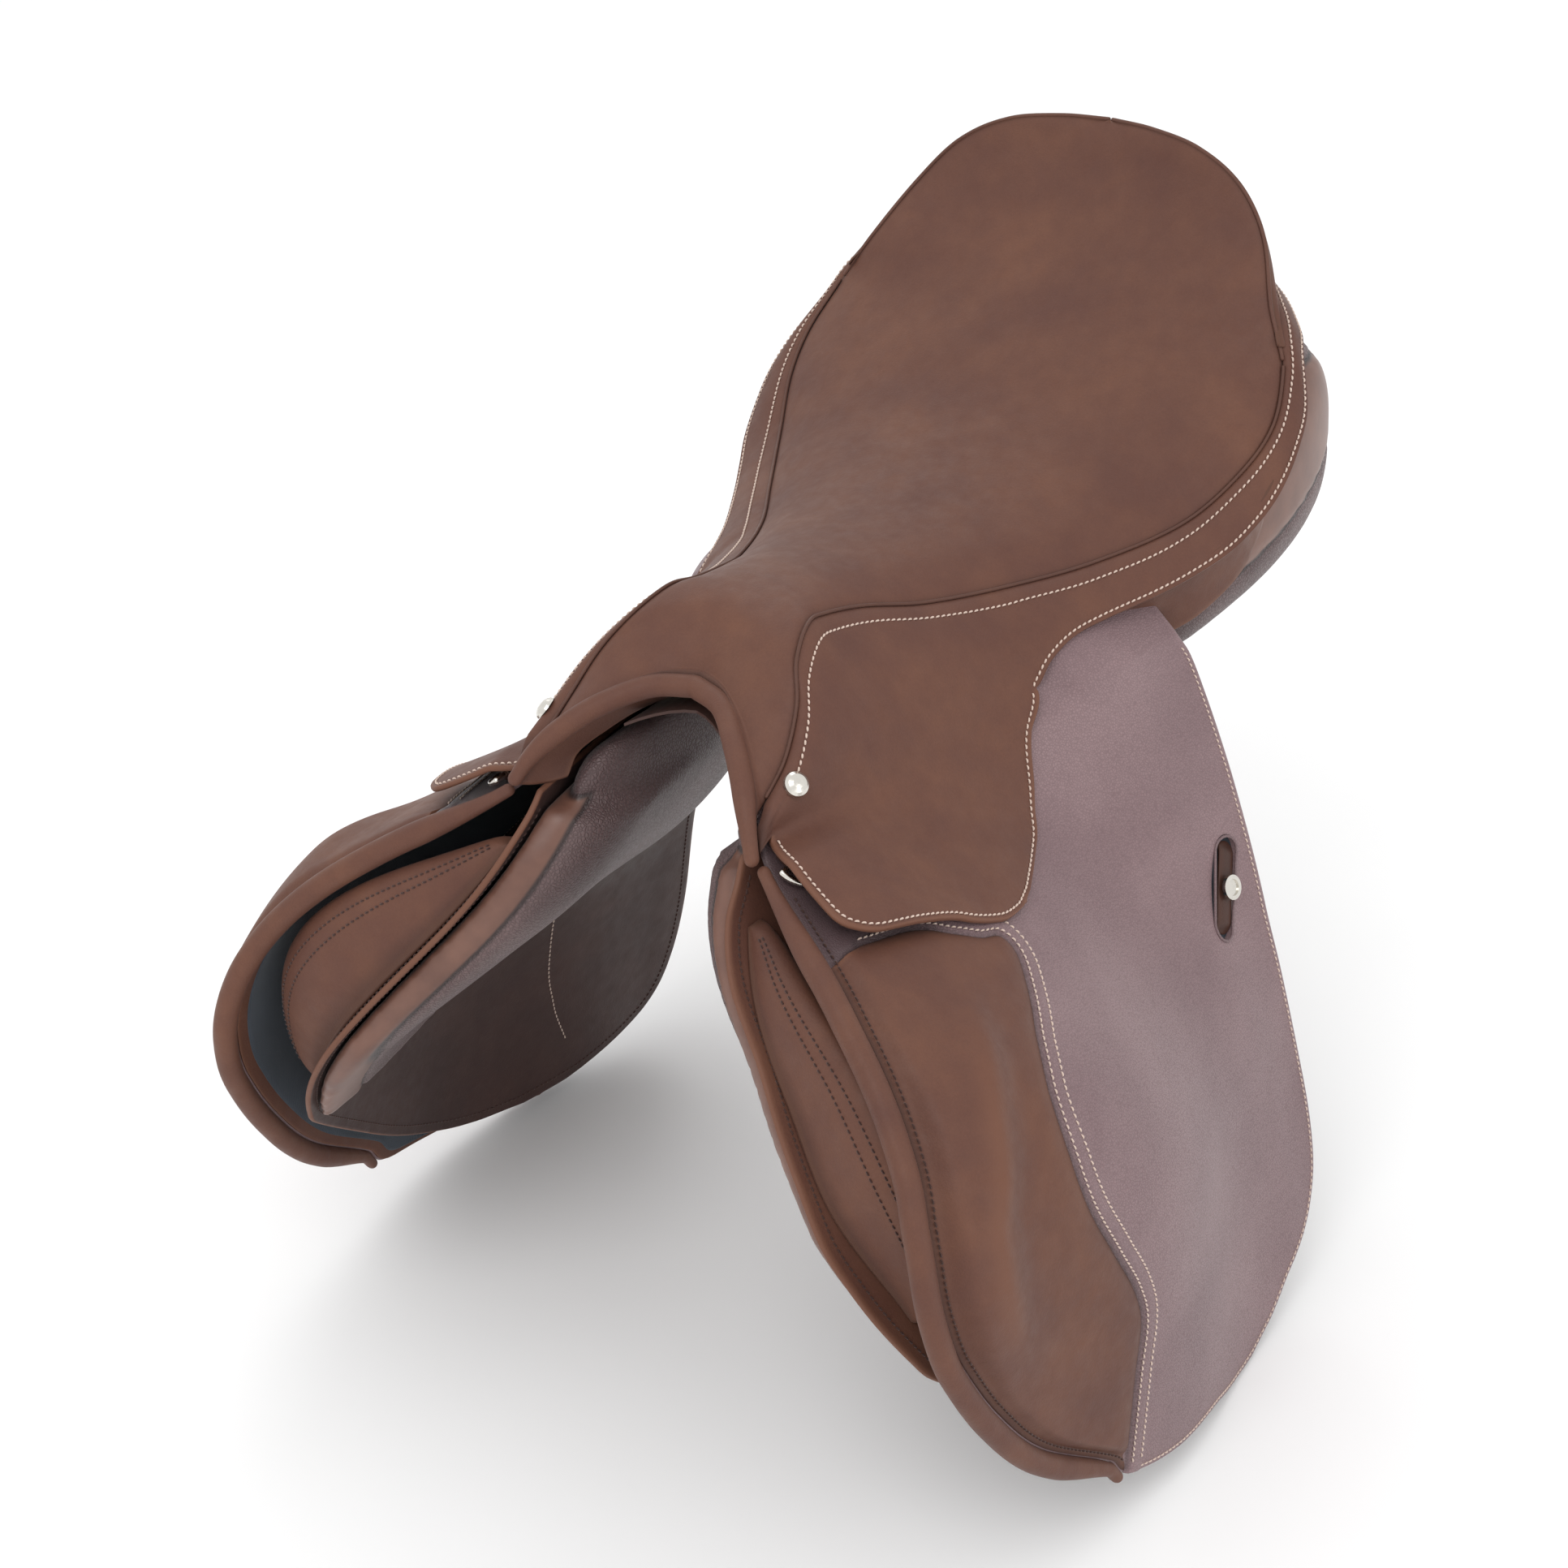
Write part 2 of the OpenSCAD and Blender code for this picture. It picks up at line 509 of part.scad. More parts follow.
// The catch closes the open rear end of the bar when it is turned up
module bar_catch_near() {
    color(steel) difference() {
        union() {
            along_x(plate_x + plate_t + 0.5, bar_x + 3.6, 4, catch_y, bar_z);
            translate([plate_x + plate_t + 2, catch_y, bar_z - 2.6]) cube([6, 17, 5.2]);
            along_x(plate_x + plate_t + 2, plate_x + plate_t + 8, 2.6, catch_y + 17, bar_z);
        }
        along_x(plate_x, bar_x + 6, pin_r + pin_fit, catch_y, bar_z);
    }
}
module bar_catch_off() { mirror([1, 0, 0]) bar_catch_near(); }

// ---- head, nails and dees ----

// Roll stuffed round the front of the arch
arch_path = [[0, [67, -202, 37]], [1, [60.5, -195, 49]], [2, [51, -184, 60]], [3, [38, -171, 70]],
    [4, [20, -155, 77]], [5, [0, -148, 79]]];
module arch_roll() {
    half = [for (k = [0 : 10]) curve(arch_path, k / 2)];
    other = [for (k = [9 : -1 : 0]) let (p = half[k]) [-p[0], p[1], p[2]]];
    path = concat(half, other);
    color(smooth_brown) tube(path, [for (p = path) 5.2], 10, [0, 1, 0.3]);
}

module aim(p, n) {
    translate(p) rotate([0, acos(n[2]), atan2(n[1], n[0])]) children();
}

module head_nails() {
    color(steel) both_sides() aim(strip_point(4.4, 0.5, 0.3), unit([0.72, -0.32, 0.66]))
        rotate_extrude($fn = 36)
            polygon([[0, 0], [nail_r, 0], [nail_r * 0.93, 1.2], [nail_r * 0.72, 2.4], [nail_r * 0.4, 3.2], [0, 3.5]]);
}

dee_y = -187;
dee_drop = 11;
dee_w = 22;
dee_tilt = 54;
dee_at = on_flap(dee_y, dee_drop, 3.9);
module dee_place() {
    translate(dee_at) rotate([0, -dee_tilt, 0]) children();
}

// Leather loop, sewn to the head of the flap, that holds the ring
module dee_chape_near() {
    color(dark_brown) dee_place() difference() {
        union() {
            rotate([90, 0, 0]) cylinder(r = 2.8, h = 9, center = true, $fn = 32);
            translate([-2.7, -4.5, 0]) cube([1.9, 9, 8]);
        }
        rotate([90, 0, 0]) cylinder(r = dee_wire_r + 0.15, h = 12, center = true, $fn = 32);
    }
}
module dee_chape_off() { mirror([1, 0, 0]) dee_chape_near(); }

module front_dee_near() {
    color(steel) dee_place() {
        rotate([90, 0, 0]) cylinder(r = dee_wire_r, h = dee_w, center = true, $fn = 32);
        rotate([90, 0, 90]) rotate([0, 0, 180]) rotate_extrude(angle = 180, $fn = 48)
            translate([dee_w / 2, 0]) circle(r = dee_wire_r, $fn = 24);
        for (s = [-1, 1]) translate([0, s * dee_w / 2, 0]) sphere(r = dee_wire_r, $fn = 24);
    }
}
module front_dee_off() { mirror([1, 0, 0]) front_dee_near(); }

// ---- keeper on the flap ----

// A rounded slot through the flap, leaning forward as it goes down, with a short strap in it and a snap on the strap
keeper_y = 41;
keeper_drop = 120;
keeper_half = 8;
keeper_len = 52;
strap_w = 9;
strap_len = 40;
strap_t = 1.8;
snap_r = 6.2;
// Local X out of the flap, Z up along the slot
module keeper_place() {
    p = flap_point(keeper_y, keeper_drop);
    x = -flap_normal(keeper_y, keeper_drop);
    y = unit(cross(flap_point(keeper_y + 14, keeper_drop - 21) - flap_point(keeper_y - 14, keeper_drop + 21), x));
    z = cross(x, y);
    multmatrix([[x[0], y[0], z[0], p[0]], [x[1], y[1], z[1], p[1]], [x[2], y[2], z[2], p[2]]]) children();
}
module keeper_slot() {
    keeper_place() {
        cube([44, 2 * keeper_half, keeper_len - 2 * keeper_half], center = true);
        for (s = [-1, 1])
            translate([0, 0, s * (keeper_len / 2 - keeper_half)]) rotate([0, 90, 0])
                cylinder(r = keeper_half, h = 44, center = true, $fn = 32);
    }
}
module strap_place() {
    keeper_place() translate([0, keeper_half - strap_w / 2 - 1, 0]) children();
}
module keeper_strap_near() {
    color(dark_brown) strap_place() translate([0.2, 0, 0]) cube([strap_t, strap_w, strap_len], center = true);
}
module keeper_strap_off() { mirror([1, 0, 0]) keeper_strap_near(); }
module keeper_snap_near() {
    color(steel) strap_place() rotate([0, 90, 0]) {
        translate([0, 0, 1.2]) cylinder(r = 2.2, h = 2.4, $fn = 32);
        difference() {
            translate([0, 0, 3.4]) cylinder(r = snap_r, h = 1.8, $fn = 48);
            translate([0, 0, 4.4]) cylinder(r = snap_r - 2, h = 2, $fn = 48);
        }
    }
}
module keeper_snap_off() { mirror([1, 0, 0]) keeper_snap_near(); }

// ---- girth billets ----

billet_y = [-98, -56, -14];
billet_top = 14;
billet_end = 284;
function billet_mid(y, t) =
    let (a = sweat_point(y, t), b = on_flap(y, t, -flap_t - lining_t))
    [(a[0] + b[0]) / 2, y, mix(a[2], b[2], 0.3)];
function billet_out(y, t) = let (d = billet_mid(y, t + 2) - billet_mid(y, t - 2)) unit([-d[2], 0, d[0]]);
module billet(y0) {
    drops = [billet_top : 13.5 : billet_end];
    function half(t) = billet_w / 2 * pow(min(1, (billet_end + 5 - t) / 26), 0.5);
    function strap_point(t, k, out) = billet_mid(y0, t) + [0, half(t) * k, 0] + billet_out(y0, t) * out;
    color(dark_brown) difference() {
        slab([for (t = drops) [for (k = [-1, 0, 1]) strap_point(t, k, billet_t / 2)]],
            [for (t = drops) [for (k = [-1, 0, 1]) strap_point(t, k, -billet_t / 2)]]);
        for (i = [0 : 4]) aim(billet_mid(y0, 160 + hole_pitch * i), billet_out(y0, 160 + hole_pitch * i))
            cylinder(r = billet_hole_r, h = 14, center = true, $fn = 32);
    }
}
module billet_near_front() { billet(billet_y[0]); }
module billet_near_middle() { billet(billet_y[1]); }
module billet_near_rear() { billet(billet_y[2]); }
module billet_off_front() { mirror([1, 0, 0]) billet(billet_y[0]); }
module billet_off_middle() { mirror([1, 0, 0]) billet(billet_y[1]); }
module billet_off_rear() { mirror([1, 0, 0]) billet(billet_y[2]); }

// Leather that faces the back of the cantle, between its rim and the strip
module cantle_facing() {
    rows = [83 : 2 : 99];
    function facing_point(v, s, out) =
        let (e = curve(seam_line, v), b = curve(strip_seam, v), d = unit([b[0], b[1] - 60, 0]))
        mix(e + [0, 0, -3.4], b + [0, 0, 1.4], s) + d * (out + 1.6 * (1 - s));
    color(smooth_brown) both_sides()
        slab([for (v = rows) [for (s = [0, 0.33, 0.67, 1]) facing_point(v, s, 0)]],
            [for (v = rows) [for (s = [0, 0.33, 0.67, 1]) facing_point(v, s, -2)]]);
}

tree_frame();
head_plate();
gullet_plate();
tree_spring_near();
tree_spring_off();
seat_webbing();
seat_foam();
seat_cover();
seat_welt_near();
seat_welt_off();
skirt_strip_near();
skirt_strip_off();
cantle_facing();
arch_roll();
head_nails();
flap_head_near();
flap_head_off();
sweat_flap_near();
sweat_flap_off();
knee_block_near();
knee_block_off();
thigh_block_near();
thigh_block_off();
panel_near();
panel_off();
gullet_lining();
stirrup_bar_near();
stirrup_bar_off();
bar_rivets();
catch_pins();
bar_catch_near();
bar_catch_off();
dee_chape_near();
dee_chape_off();
front_dee_near();
front_dee_off();
flap_near();
flap_off();
flap_lining_near();
flap_lining_off();
knee_pad_near();
knee_pad_off();
flap_roll_near();
flap_roll_off();
keeper_strap_near();
keeper_strap_off();
keeper_snap_near();
keeper_snap_off();
skirt_near();
skirt_off();
billet_near_front();
billet_near_middle();
billet_near_rear();
billet_off_front();
billet_off_middle();
billet_off_rear();
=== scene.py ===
import math

import bmesh
import bpy
import numpy as np
from mathutils import Matrix, Vector


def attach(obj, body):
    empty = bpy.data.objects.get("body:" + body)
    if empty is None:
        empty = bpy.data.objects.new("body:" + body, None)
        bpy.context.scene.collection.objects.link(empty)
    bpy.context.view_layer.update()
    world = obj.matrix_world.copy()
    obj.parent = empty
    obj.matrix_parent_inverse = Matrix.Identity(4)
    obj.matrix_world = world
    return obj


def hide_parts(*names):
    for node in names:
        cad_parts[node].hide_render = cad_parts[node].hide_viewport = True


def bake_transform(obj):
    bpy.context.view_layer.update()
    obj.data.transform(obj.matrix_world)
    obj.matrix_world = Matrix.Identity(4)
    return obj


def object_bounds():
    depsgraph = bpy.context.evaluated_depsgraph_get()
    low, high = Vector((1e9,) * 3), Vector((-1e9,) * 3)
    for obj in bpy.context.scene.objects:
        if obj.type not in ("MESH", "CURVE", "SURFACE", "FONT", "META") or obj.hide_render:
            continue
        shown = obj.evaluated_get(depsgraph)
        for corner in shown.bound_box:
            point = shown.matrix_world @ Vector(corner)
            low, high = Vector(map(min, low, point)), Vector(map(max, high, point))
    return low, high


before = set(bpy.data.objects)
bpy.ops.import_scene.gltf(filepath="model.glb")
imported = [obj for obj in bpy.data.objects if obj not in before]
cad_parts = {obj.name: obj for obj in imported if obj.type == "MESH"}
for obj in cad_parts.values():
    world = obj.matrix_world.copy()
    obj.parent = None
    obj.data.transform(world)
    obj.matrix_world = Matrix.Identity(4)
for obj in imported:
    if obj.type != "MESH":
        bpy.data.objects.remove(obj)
cad_box = [list(corner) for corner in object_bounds()]
MM = 0.001
SIDES = ("near", "off")


# ---------------------------------------------------------------- curves and blends (millimetres)

def ease(a, b, x):
    """0 at a, 1 at b, with a smooth change between them."""
    t = np.clip((np.asarray(x, float) - a) / (b - a), 0, 1)
    return t * t * (3 - 2 * t)


def mix(a, b, s):
    return a + (b - a) * s


def unit(v):
    return v / np.maximum(np.linalg.norm(v, axis=-1, keepdims=True), 1e-9)


def curve(table, x):
    """Smooth curve through (key, value) pairs; a value is a number or a point."""
    keys = np.array([k for k, _ in table], float)
    vals = np.array([np.atleast_1d(v) for _, v in table], float)
    n = len(keys)
    before, after = np.maximum(np.arange(n) - 1, 0), np.minimum(np.arange(n) + 1, n - 1)
    slope = (vals[after] - vals[before]) / (keys[after] - keys[before])[:, None]
    x = np.asarray(x, float)
    i = np.clip(np.searchsorted(keys, x, side="right") - 1, 0, n - 2)
    h = (keys[i + 1] - keys[i])[..., None]
    s = np.clip((x - keys[i]) / (keys[i + 1] - keys[i]), 0, 1)[..., None]
    out = ((2 * s**3 - 3 * s**2 + 1) * vals[i] + (s**3 - 2 * s**2 + s) * h * slope[i]
           + (3 * s**2 - 2 * s**3) * vals[i + 1] + (s**3 - s**2) * h * slope[i + 1])
    return out[..., 0] if vals.shape[1] == 1 else out


# ---------------------------------------------------------------- the side surfaces

TOP_FRONT, TOP_REAR = np.array([65.0, -191.0, 40.0]), np.array([115.5, 75.0, 43.5])
FRONT_FLARE, FLAP_T, LINING_T, GAP = 162.0, 3.0, 1.2, 21.0
SWEAT_T, SKIRT_T = 3.0, 2.8


def top_line(y):
    s = (np.asarray(y, float) - TOP_FRONT[1]) / (TOP_REAR[1] - TOP_FRONT[1])
    return TOP_FRONT + s[..., None] * (TOP_REAR - TOP_FRONT)


def flare_front(t):
    return FRONT_FLARE * (1 - np.exp(-(np.maximum(t, 0) / 62) ** 1.4))


def flare_rear(t):
    return 0.36 * t - 0.0002 * t * t


def sweat_front(t):
    return 0.926 * FRONT_FLARE * (1 - np.exp(-(np.maximum(t, 0) / 132) ** 1.9))


def front_share(y, t):
    """How much of the front's flare a point takes; the change moves back with the drop."""
    k = ease(0, 200, t)
    s = np.clip((y - (-20 + 110 * k)) / ((-235 + 85 * k) - (-20 + 110 * k)), 0, 1)
    return s * s * (3 - 2 * s)


def stand_out(y):
    """How far the rear of a side sheet stands out from the fold."""
    return 18 * ease(-70, 30, y)


def flap_point(y, t):
    y, t = np.broadcast_arrays(np.asarray(y, float), np.asarray(t, float))
    h, w, drop = top_line(y), front_share(y, t), np.maximum(t, 0)
    lean = mix(0.62, 1.0, ease(-60, 10, y)) * np.minimum(t, 0)
    rear = flare_rear(drop) + stand_out(y)
    return np.stack([h[..., 0] + w * flare_front(t) + (1 - w) * rear + lean, y, h[..., 2] - t], -1)


def sweat_point(y, t):
    y, t = np.broadcast_arrays(np.asarray(y, float), np.asarray(t, float))
    h, w = top_line(y), front_share(y, t)
    rear = flare_rear(t) - GAP + 9 - 0.02 * t + stand_out(y) * ease(0, 90, t)
    return np.stack([h[..., 0] - 9 + w * (sweat_front(t) + 4) + (1 - w) * rear, y, h[..., 2] - t], -1)


def outward(surface, y, t):
    """Unit vector out of a side surface, away from the horse."""
    down, back = surface(y, t + 1.0) - surface(y, t - 1.0), surface(y + 1.0, t) - surface(y - 1.0, t)
    return unit(np.cross(down, back))


def on(surface, y, t, out=0.0):
    y, t, out = np.broadcast_arrays(np.asarray(y, float), np.asarray(t, float), np.asarray(out, float))
    return surface(y, t) + outward(surface, y, t) * out[..., None]


# Outlines as (drop, y) pairs
FLAP_FRONT = [(0, -190), (10, -198), (31, -214), (51, -231), (76, -248), (94, -258), (110, -266), (135, -272),
              (157, -271), (176, -266), (213, -248), (251, -221), (291, -175), (306, -162), (317, -125),
              (324, -86), (331, -62), (334, -40)]
FLAP_REAR = [(0, 61), (11, 65), (33, 67), (55, 68), (78, 68.4), (121, 67.6), (162, 65), (192, 61.6), (219, 60),
             (245, 58.4), (268, 54.6), (282, 49.4), (295, 40), (302, 31.5), (308, 21), (314, 9), (321, -2),
             (327, -13), (331, -25), (334, -36)]
SWEAT_FORE = [(0, -190), (16, -202), (28, -215), (48, -229), (75, -241), (98, -254), (118, -263), (137, -269),
              (156, -268), (174, -264), (194, -256), (206, -249), (250, -202), (279, -167), (301, -132),
              (314, -100), (321, -62)]
SWEAT_AFT = [(0, 56), (60, 48), (110, 45), (162, 45), (199, 50), (245, 53), (282, 47), (305, 32), (315, 6),
             (321, -50)]
PAD_REAR = [(33, -200), (39, -168), (48, -149), (54, -138), (58, -128), (65, -128), (72, -141), (81, -161),
            (95, -177), (117, -183), (144, -181), (176, -169), (199, -159), (220, -154), (248, -158),
            (279, -162), (302, -165)]
SKIRT_FORE = [(0, -190), (2, -191), (14, -197.5), (23, -201.5), (28, -203), (31, -201), (35, -193),
              (37.6, -181.5), (40, -170), (45, -151), (50, -139), (55, -126), (58, -117), (61, -101)]
SKIRT_AFT = [(0, -21), (5, -28.5), (10, -33.5), (18, -37.5), (34, -44), (44, -51), (53, -60),
             (57.6, -74), (60, -88), (61, -97)]

ARCH = [(0, (67, -202, 37)), (1, (60.5, -195, 49)), (2, (51, -184, 60)), (3, (38, -171, 70)),
        (4, (20, -155, 77)), (5, (0, -148, 79))]

# The seat: share from pommel to cantle, seam point, centre line y and z
SEAT = [(0, (61, -184, 55), (-142, 84)), (5, (60, -165, 67), (-135, 93)), (10, (55, -147, 84), (-127, 101)),
        (15, (46, -133, 98), (-118, 107)), (20, (39, -113, 106), (-106, 110)), (25, (37, -96, 103), (-94, 110)),
        (30, (41, -72, 97), (-72, 107)), (37, (53, -39, 87), (-40, 101)), (46, (73, 7, 81), (0, 98)),
        (53, (95, 45, 82), (38, 101)), (61, (119, 89, 90), (75, 110)), (67, (133, 120, 107), (105, 122)),
        (72, (137, 144, 123), (130, 137)), (77, (131, 165, 143), (152, 151)), (82, (117, 178, 168), (172, 165)),
        (88, (100, 201, 196), (190, 180)), (92, (81, 211, 216), (203, 195)), (96, (54, 217, 229), (213, 210)),
        (98.5, (25, 222, 233), (219, 223)), (100, (0, 226.2, 233), (225, 232))]
SEAM_LINE = [(k, e) for k, e, _ in SEAT]
CENTRE_LINE = [(k, c) for k, _, c in SEAT]
STRIP_EDGE = [(0, (68, -188, 42.5)), (20, (81, -126, 43)), (37, (91, -70, 43.6)), (44, (101, -21, 45.5)),
              (46, (102, -9, 54)), (49, (105, 8, 60)), (53, (112, 27, 63)), (57, (125, 53, 67)),
              (61, (135, 72, 72)), (65, (145, 92, 80)), (68, (151, 112, 91)), (71, (153, 128, 102)),
              (74, (151, 146, 114)), (77, (146, 163, 125)), (80, (135, 180, 143)), (84, (124, 198, 150)),
              (90, (96, 226, 158)), (95, (57, 244, 163)), (100, (0, 250, 165))]
STRIP_SEAM = [p for p in SEAM_LINE if p[0] <= 77] + [
    (80, (125, 172, 155)), (84, (114, 188, 166)), (90, (89, 214, 178)), (95, (53, 231, 184)),
    (100, (0, 237, 186))]


def seat_point(v, u, down=0.0):
    v, u = np.broadcast_arrays(np.asarray(v, float), np.asarray(u, float))
    edge, mid, a = curve(SEAM_LINE, v), curve(CENTRE_LINE, v), np.abs(u)
    bow = mix(1.5, 2.0, ease(14, 26, v))
    return np.stack([u * edge[..., 0], mix(mid[..., 0], edge[..., 1], a**bow),
                     mix(mid[..., 1], edge[..., 2], a**2.3) - down], -1)


# ---------------------------------------------------------------- meshes

def grid_faces(rows, columns, start=0, wrap=False):
    i = start + np.arange(rows * columns).reshape(rows, columns)
    if wrap:
        i = np.concatenate([i, i[:, :1]], 1)
    return np.stack([i[:-1, :-1], i[:-1, 1:], i[1:, 1:], i[1:, :-1]], -1).reshape(-1, 4).tolist()


def border(rows, columns):
    """Grid indices round the border, in order, and the index just inside each."""
    ring = ([(0, j) for j in range(columns)] + [(i, columns - 1) for i in range(1, rows)]
            + [(rows - 1, j) for j in range(columns - 2, -1, -1)] + [(i, 0) for i in range(rows - 2, 0, -1)])
    inner = [(min(max(i, 1), rows - 2), min(max(j, 1), columns - 2)) for i, j in ring]
    return [i * columns + j for i, j in ring], [i * columns + j for i, j in inner]


def make(name, verts, faces, side, material, attributes=(), smooth=True, recalc=True):
    """A mesh object from points in millimetres; the off side is the near side mirrored."""
    verts = np.array(verts, float) * MM
    if side == "off":
        verts[:, 0] *= -1
    mesh = bpy.data.meshes.new(name)
    mesh.from_pydata(verts.tolist(), [], faces)
    for key, values in attributes:
        mesh.attributes.new(key, "FLOAT", "POINT").data.foreach_set("value", np.asarray(values, np.float32))
    if recalc:
        bm = bmesh.new()
        bm.from_mesh(mesh)
        bmesh.ops.recalc_face_normals(bm, faces=bm.faces)
        bm.to_mesh(mesh)
        bm.free()
    mesh.polygons.foreach_set("use_smooth", [smooth] * len(mesh.polygons))
    obj = bpy.data.objects.new(name, mesh)
    bpy.context.scene.collection.objects.link(obj)
    obj.data.materials.append(material)
    return obj


def edge_distance(grid):
    """Distance of each grid point from the nearest of the four borders, in millimetres."""
    d = [np.linalg.norm(grid - grid[:, :1], axis=-1), np.linalg.norm(grid - grid[:, -1:], axis=-1),
         np.linalg.norm(grid - grid[:1], axis=-1), np.linalg.norm(grid - grid[-1:], axis=-1)]
    return np.min(d, 0)


def path_nearest(points, path):
    """Distance of each point from the nearest vertex of a path, and that vertex's index."""
    shape = points.shape[:-1]
    p, q = points.reshape(-1, 3), np.asarray(path, float)
    best, index = np.full(len(p), 1e18), np.zeros(len(p), int)
    for k in range(0, len(q), 64):
        part = q[k:k + 64]
        d = (p * p).sum(1)[:, None] + (part * part).sum(1)[None] - 2 * p @ part.T
        low = d.argmin(1)
        value = d[np.arange(len(p)), low]
        index = np.where(value < best, low + k, index)
        best = np.minimum(best, value)
    return np.sqrt(np.maximum(best, 0)).reshape(shape), index.reshape(shape)


def path_distance(points, path):
    return path_nearest(points, path)[0]


def leather(name, outer, inner, side, material, bulge=0.5, shade=None, steps=3, normals=None, joined="",
            back=None, painted_highlight_distance=None):
    """A closed sheet between two grids, with a rounded edge.

    shade is 0 to 1 for each outer point: the strength of the painted shade there. joined names the borders that
    meet another piece, and so stay square and unworn: top and bottom are the first and last rows, left and
    right the first and last columns. back is a second material for the inner face, and
    painted_highlight_distance is the distance in mm from a line of painted highlight, which is made paler the
    same way as a worn edge.
    """
    rows, columns = outer.shape[:2]
    flat_o, flat_i = outer.reshape(-1, 3), inner.reshape(-1, 3)
    n = len(flat_o)
    ring, inside = border(rows, columns)
    po, pi = flat_o[ring], flat_i[ring]
    away = po - flat_o[inside]
    through = unit(po - pi)
    away = unit(away - (away * through).sum(-1, keepdims=True) * through)
    half, middle = np.linalg.norm(po - pi, axis=-1, keepdims=True) / 2, (po + pi) / 2
    sides = {"top": lambda i, j: i == 0, "bottom": lambda i, j: i == rows - 1,
             "left": lambda i, j: j == 0, "right": lambda i, j: j == columns - 1}
    square = np.array([any(sides[k](r // columns, r % columns) for k in joined.split()) for r in ring])[:, None]
    rims = []
    for k in range(1, steps + 1):
        a = math.pi * k / (steps + 1)
        rims.append(middle + (po - pi) / 2 * math.cos(a) + away * half * bulge * 2 * math.sin(a) * ~square)
    verts = np.concatenate([flat_o, flat_i] + rims)
    m = len(ring)
    loops = [np.array(ring)] + [2 * n + k * m + np.arange(m) for k in range(steps)] + [n + np.array(ring)]
    faces = grid_faces(rows, columns) + grid_faces(rows, columns, n)
    for a, b in zip(loops[:-1], loops[1:]):
        faces += np.stack([a, np.roll(a, -1), np.roll(b, -1), b], -1).tolist()
    shade = np.zeros((rows, columns)) if shade is None else shade
    wide = {"top": outer[:1], "bottom": outer[-1:], "left": outer[:, :1], "right": outer[:, -1:]}
    open_sides = [np.linalg.norm(outer - v, axis=-1) for k, v in wide.items() if k not in joined.split()]
    edge_and_highlight_distance = np.min(open_sides, 0)
    # a line of painted highlight, where one is given, is made paler the same way as a worn edge
    if painted_highlight_distance is not None:
        edge_and_highlight_distance = np.minimum(edge_and_highlight_distance, painted_highlight_distance)
    wear_and_highlight = np.concatenate([edge_and_highlight_distance.reshape(-1)] * 2 + [edge_and_highlight_distance.reshape(-1)[ring]] * steps)
    # the painted shade for each vertex
    tone = np.concatenate([shade.reshape(-1)] * 2 + [shade.reshape(-1)[ring]] * steps)
    obj = make(name, verts, faces, side, material, [("edge", wear_and_highlight), ("shade", tone)])
    if back:
        obj.data.materials.append(back)
        index = np.zeros(len(faces), np.int32)
        index[(rows - 1) * (columns - 1):2 * (rows - 1) * (columns - 1)] = 1
        obj.data.polygons.foreach_set("material_index", index)
    if normals is not None:
        custom = np.zeros((len(verts), 3))
        custom[:n] = normals.reshape(-1, 3)
        if side == "off":
            custom[:, 0] *= -1
        obj.data.normals_split_custom_set_from_vertices(custom.tolist())
    return obj


def run(path):
    """Length from the start of a path to each of its points."""
    return np.concatenate([[0], np.cumsum(np.linalg.norm(np.diff(path, axis=0), axis=1))])


def along(path, count=None, spacing=None):
    """A path resampled to even steps."""
    path = np.asarray(path, float)
    s = run(path)
    want = np.linspace(0, s[-1], count) if count else np.arange(0, s[-1], spacing)
    return np.stack([np.interp(want, s, path[:, k]) for k in range(path.shape[1])], -1)


def tube_faces(rings, sides):
    """Faces of a closed tube: its wall and a cap at each end."""
    return grid_faces(rings, sides, wrap=True) + [list(range(sides))[::-1],
                                                  [(rings - 1) * sides + k for k in range(sides)]]


def tube(name, path, radii, side, material, sides=16, shade=0.0, caps=True, flat=1.0, up=(0, 0, 1)):
    """A round roll along a path, its ends drawn in to a rounded cap."""
    path = np.asarray(path, float)
    radii = np.broadcast_to(np.asarray(radii, float), (len(path),)).copy()
    tangent = unit(np.gradient(path, axis=0))
    if caps:
        ends = np.array([0.08, 0.45, 0.75, 0.92, 0.99])
        reach = np.sqrt(1 - ends**2)
        head = path[0] - tangent[0] * radii[0] * ends[::-1, None]
        tail = path[-1] + tangent[-1] * radii[-1] * ends[:, None]
        path = np.concatenate([head, path, tail])
        radii = np.concatenate([radii[0] * reach[::-1], radii, radii[-1] * reach])
        tangent = np.concatenate([[tangent[0]] * 5, tangent, [tangent[-1]] * 5])
    across = unit(np.cross(tangent, np.array(up, float)))
    lift = np.cross(across, tangent)
    a = 2 * np.pi * np.arange(sides) / sides
    rings = (path[:, None] + radii[:, None, None] * (across[:, None] * np.cos(a)[None, :, None]
             + flat * lift[:, None] * np.sin(a)[None, :, None]))
    verts = rings.reshape(-1, 3)
    return make(name, verts, tube_faces(len(path), sides), side, material,
                [("edge", np.full(len(verts), 20.0)), ("shade", np.full(len(verts), shade))])


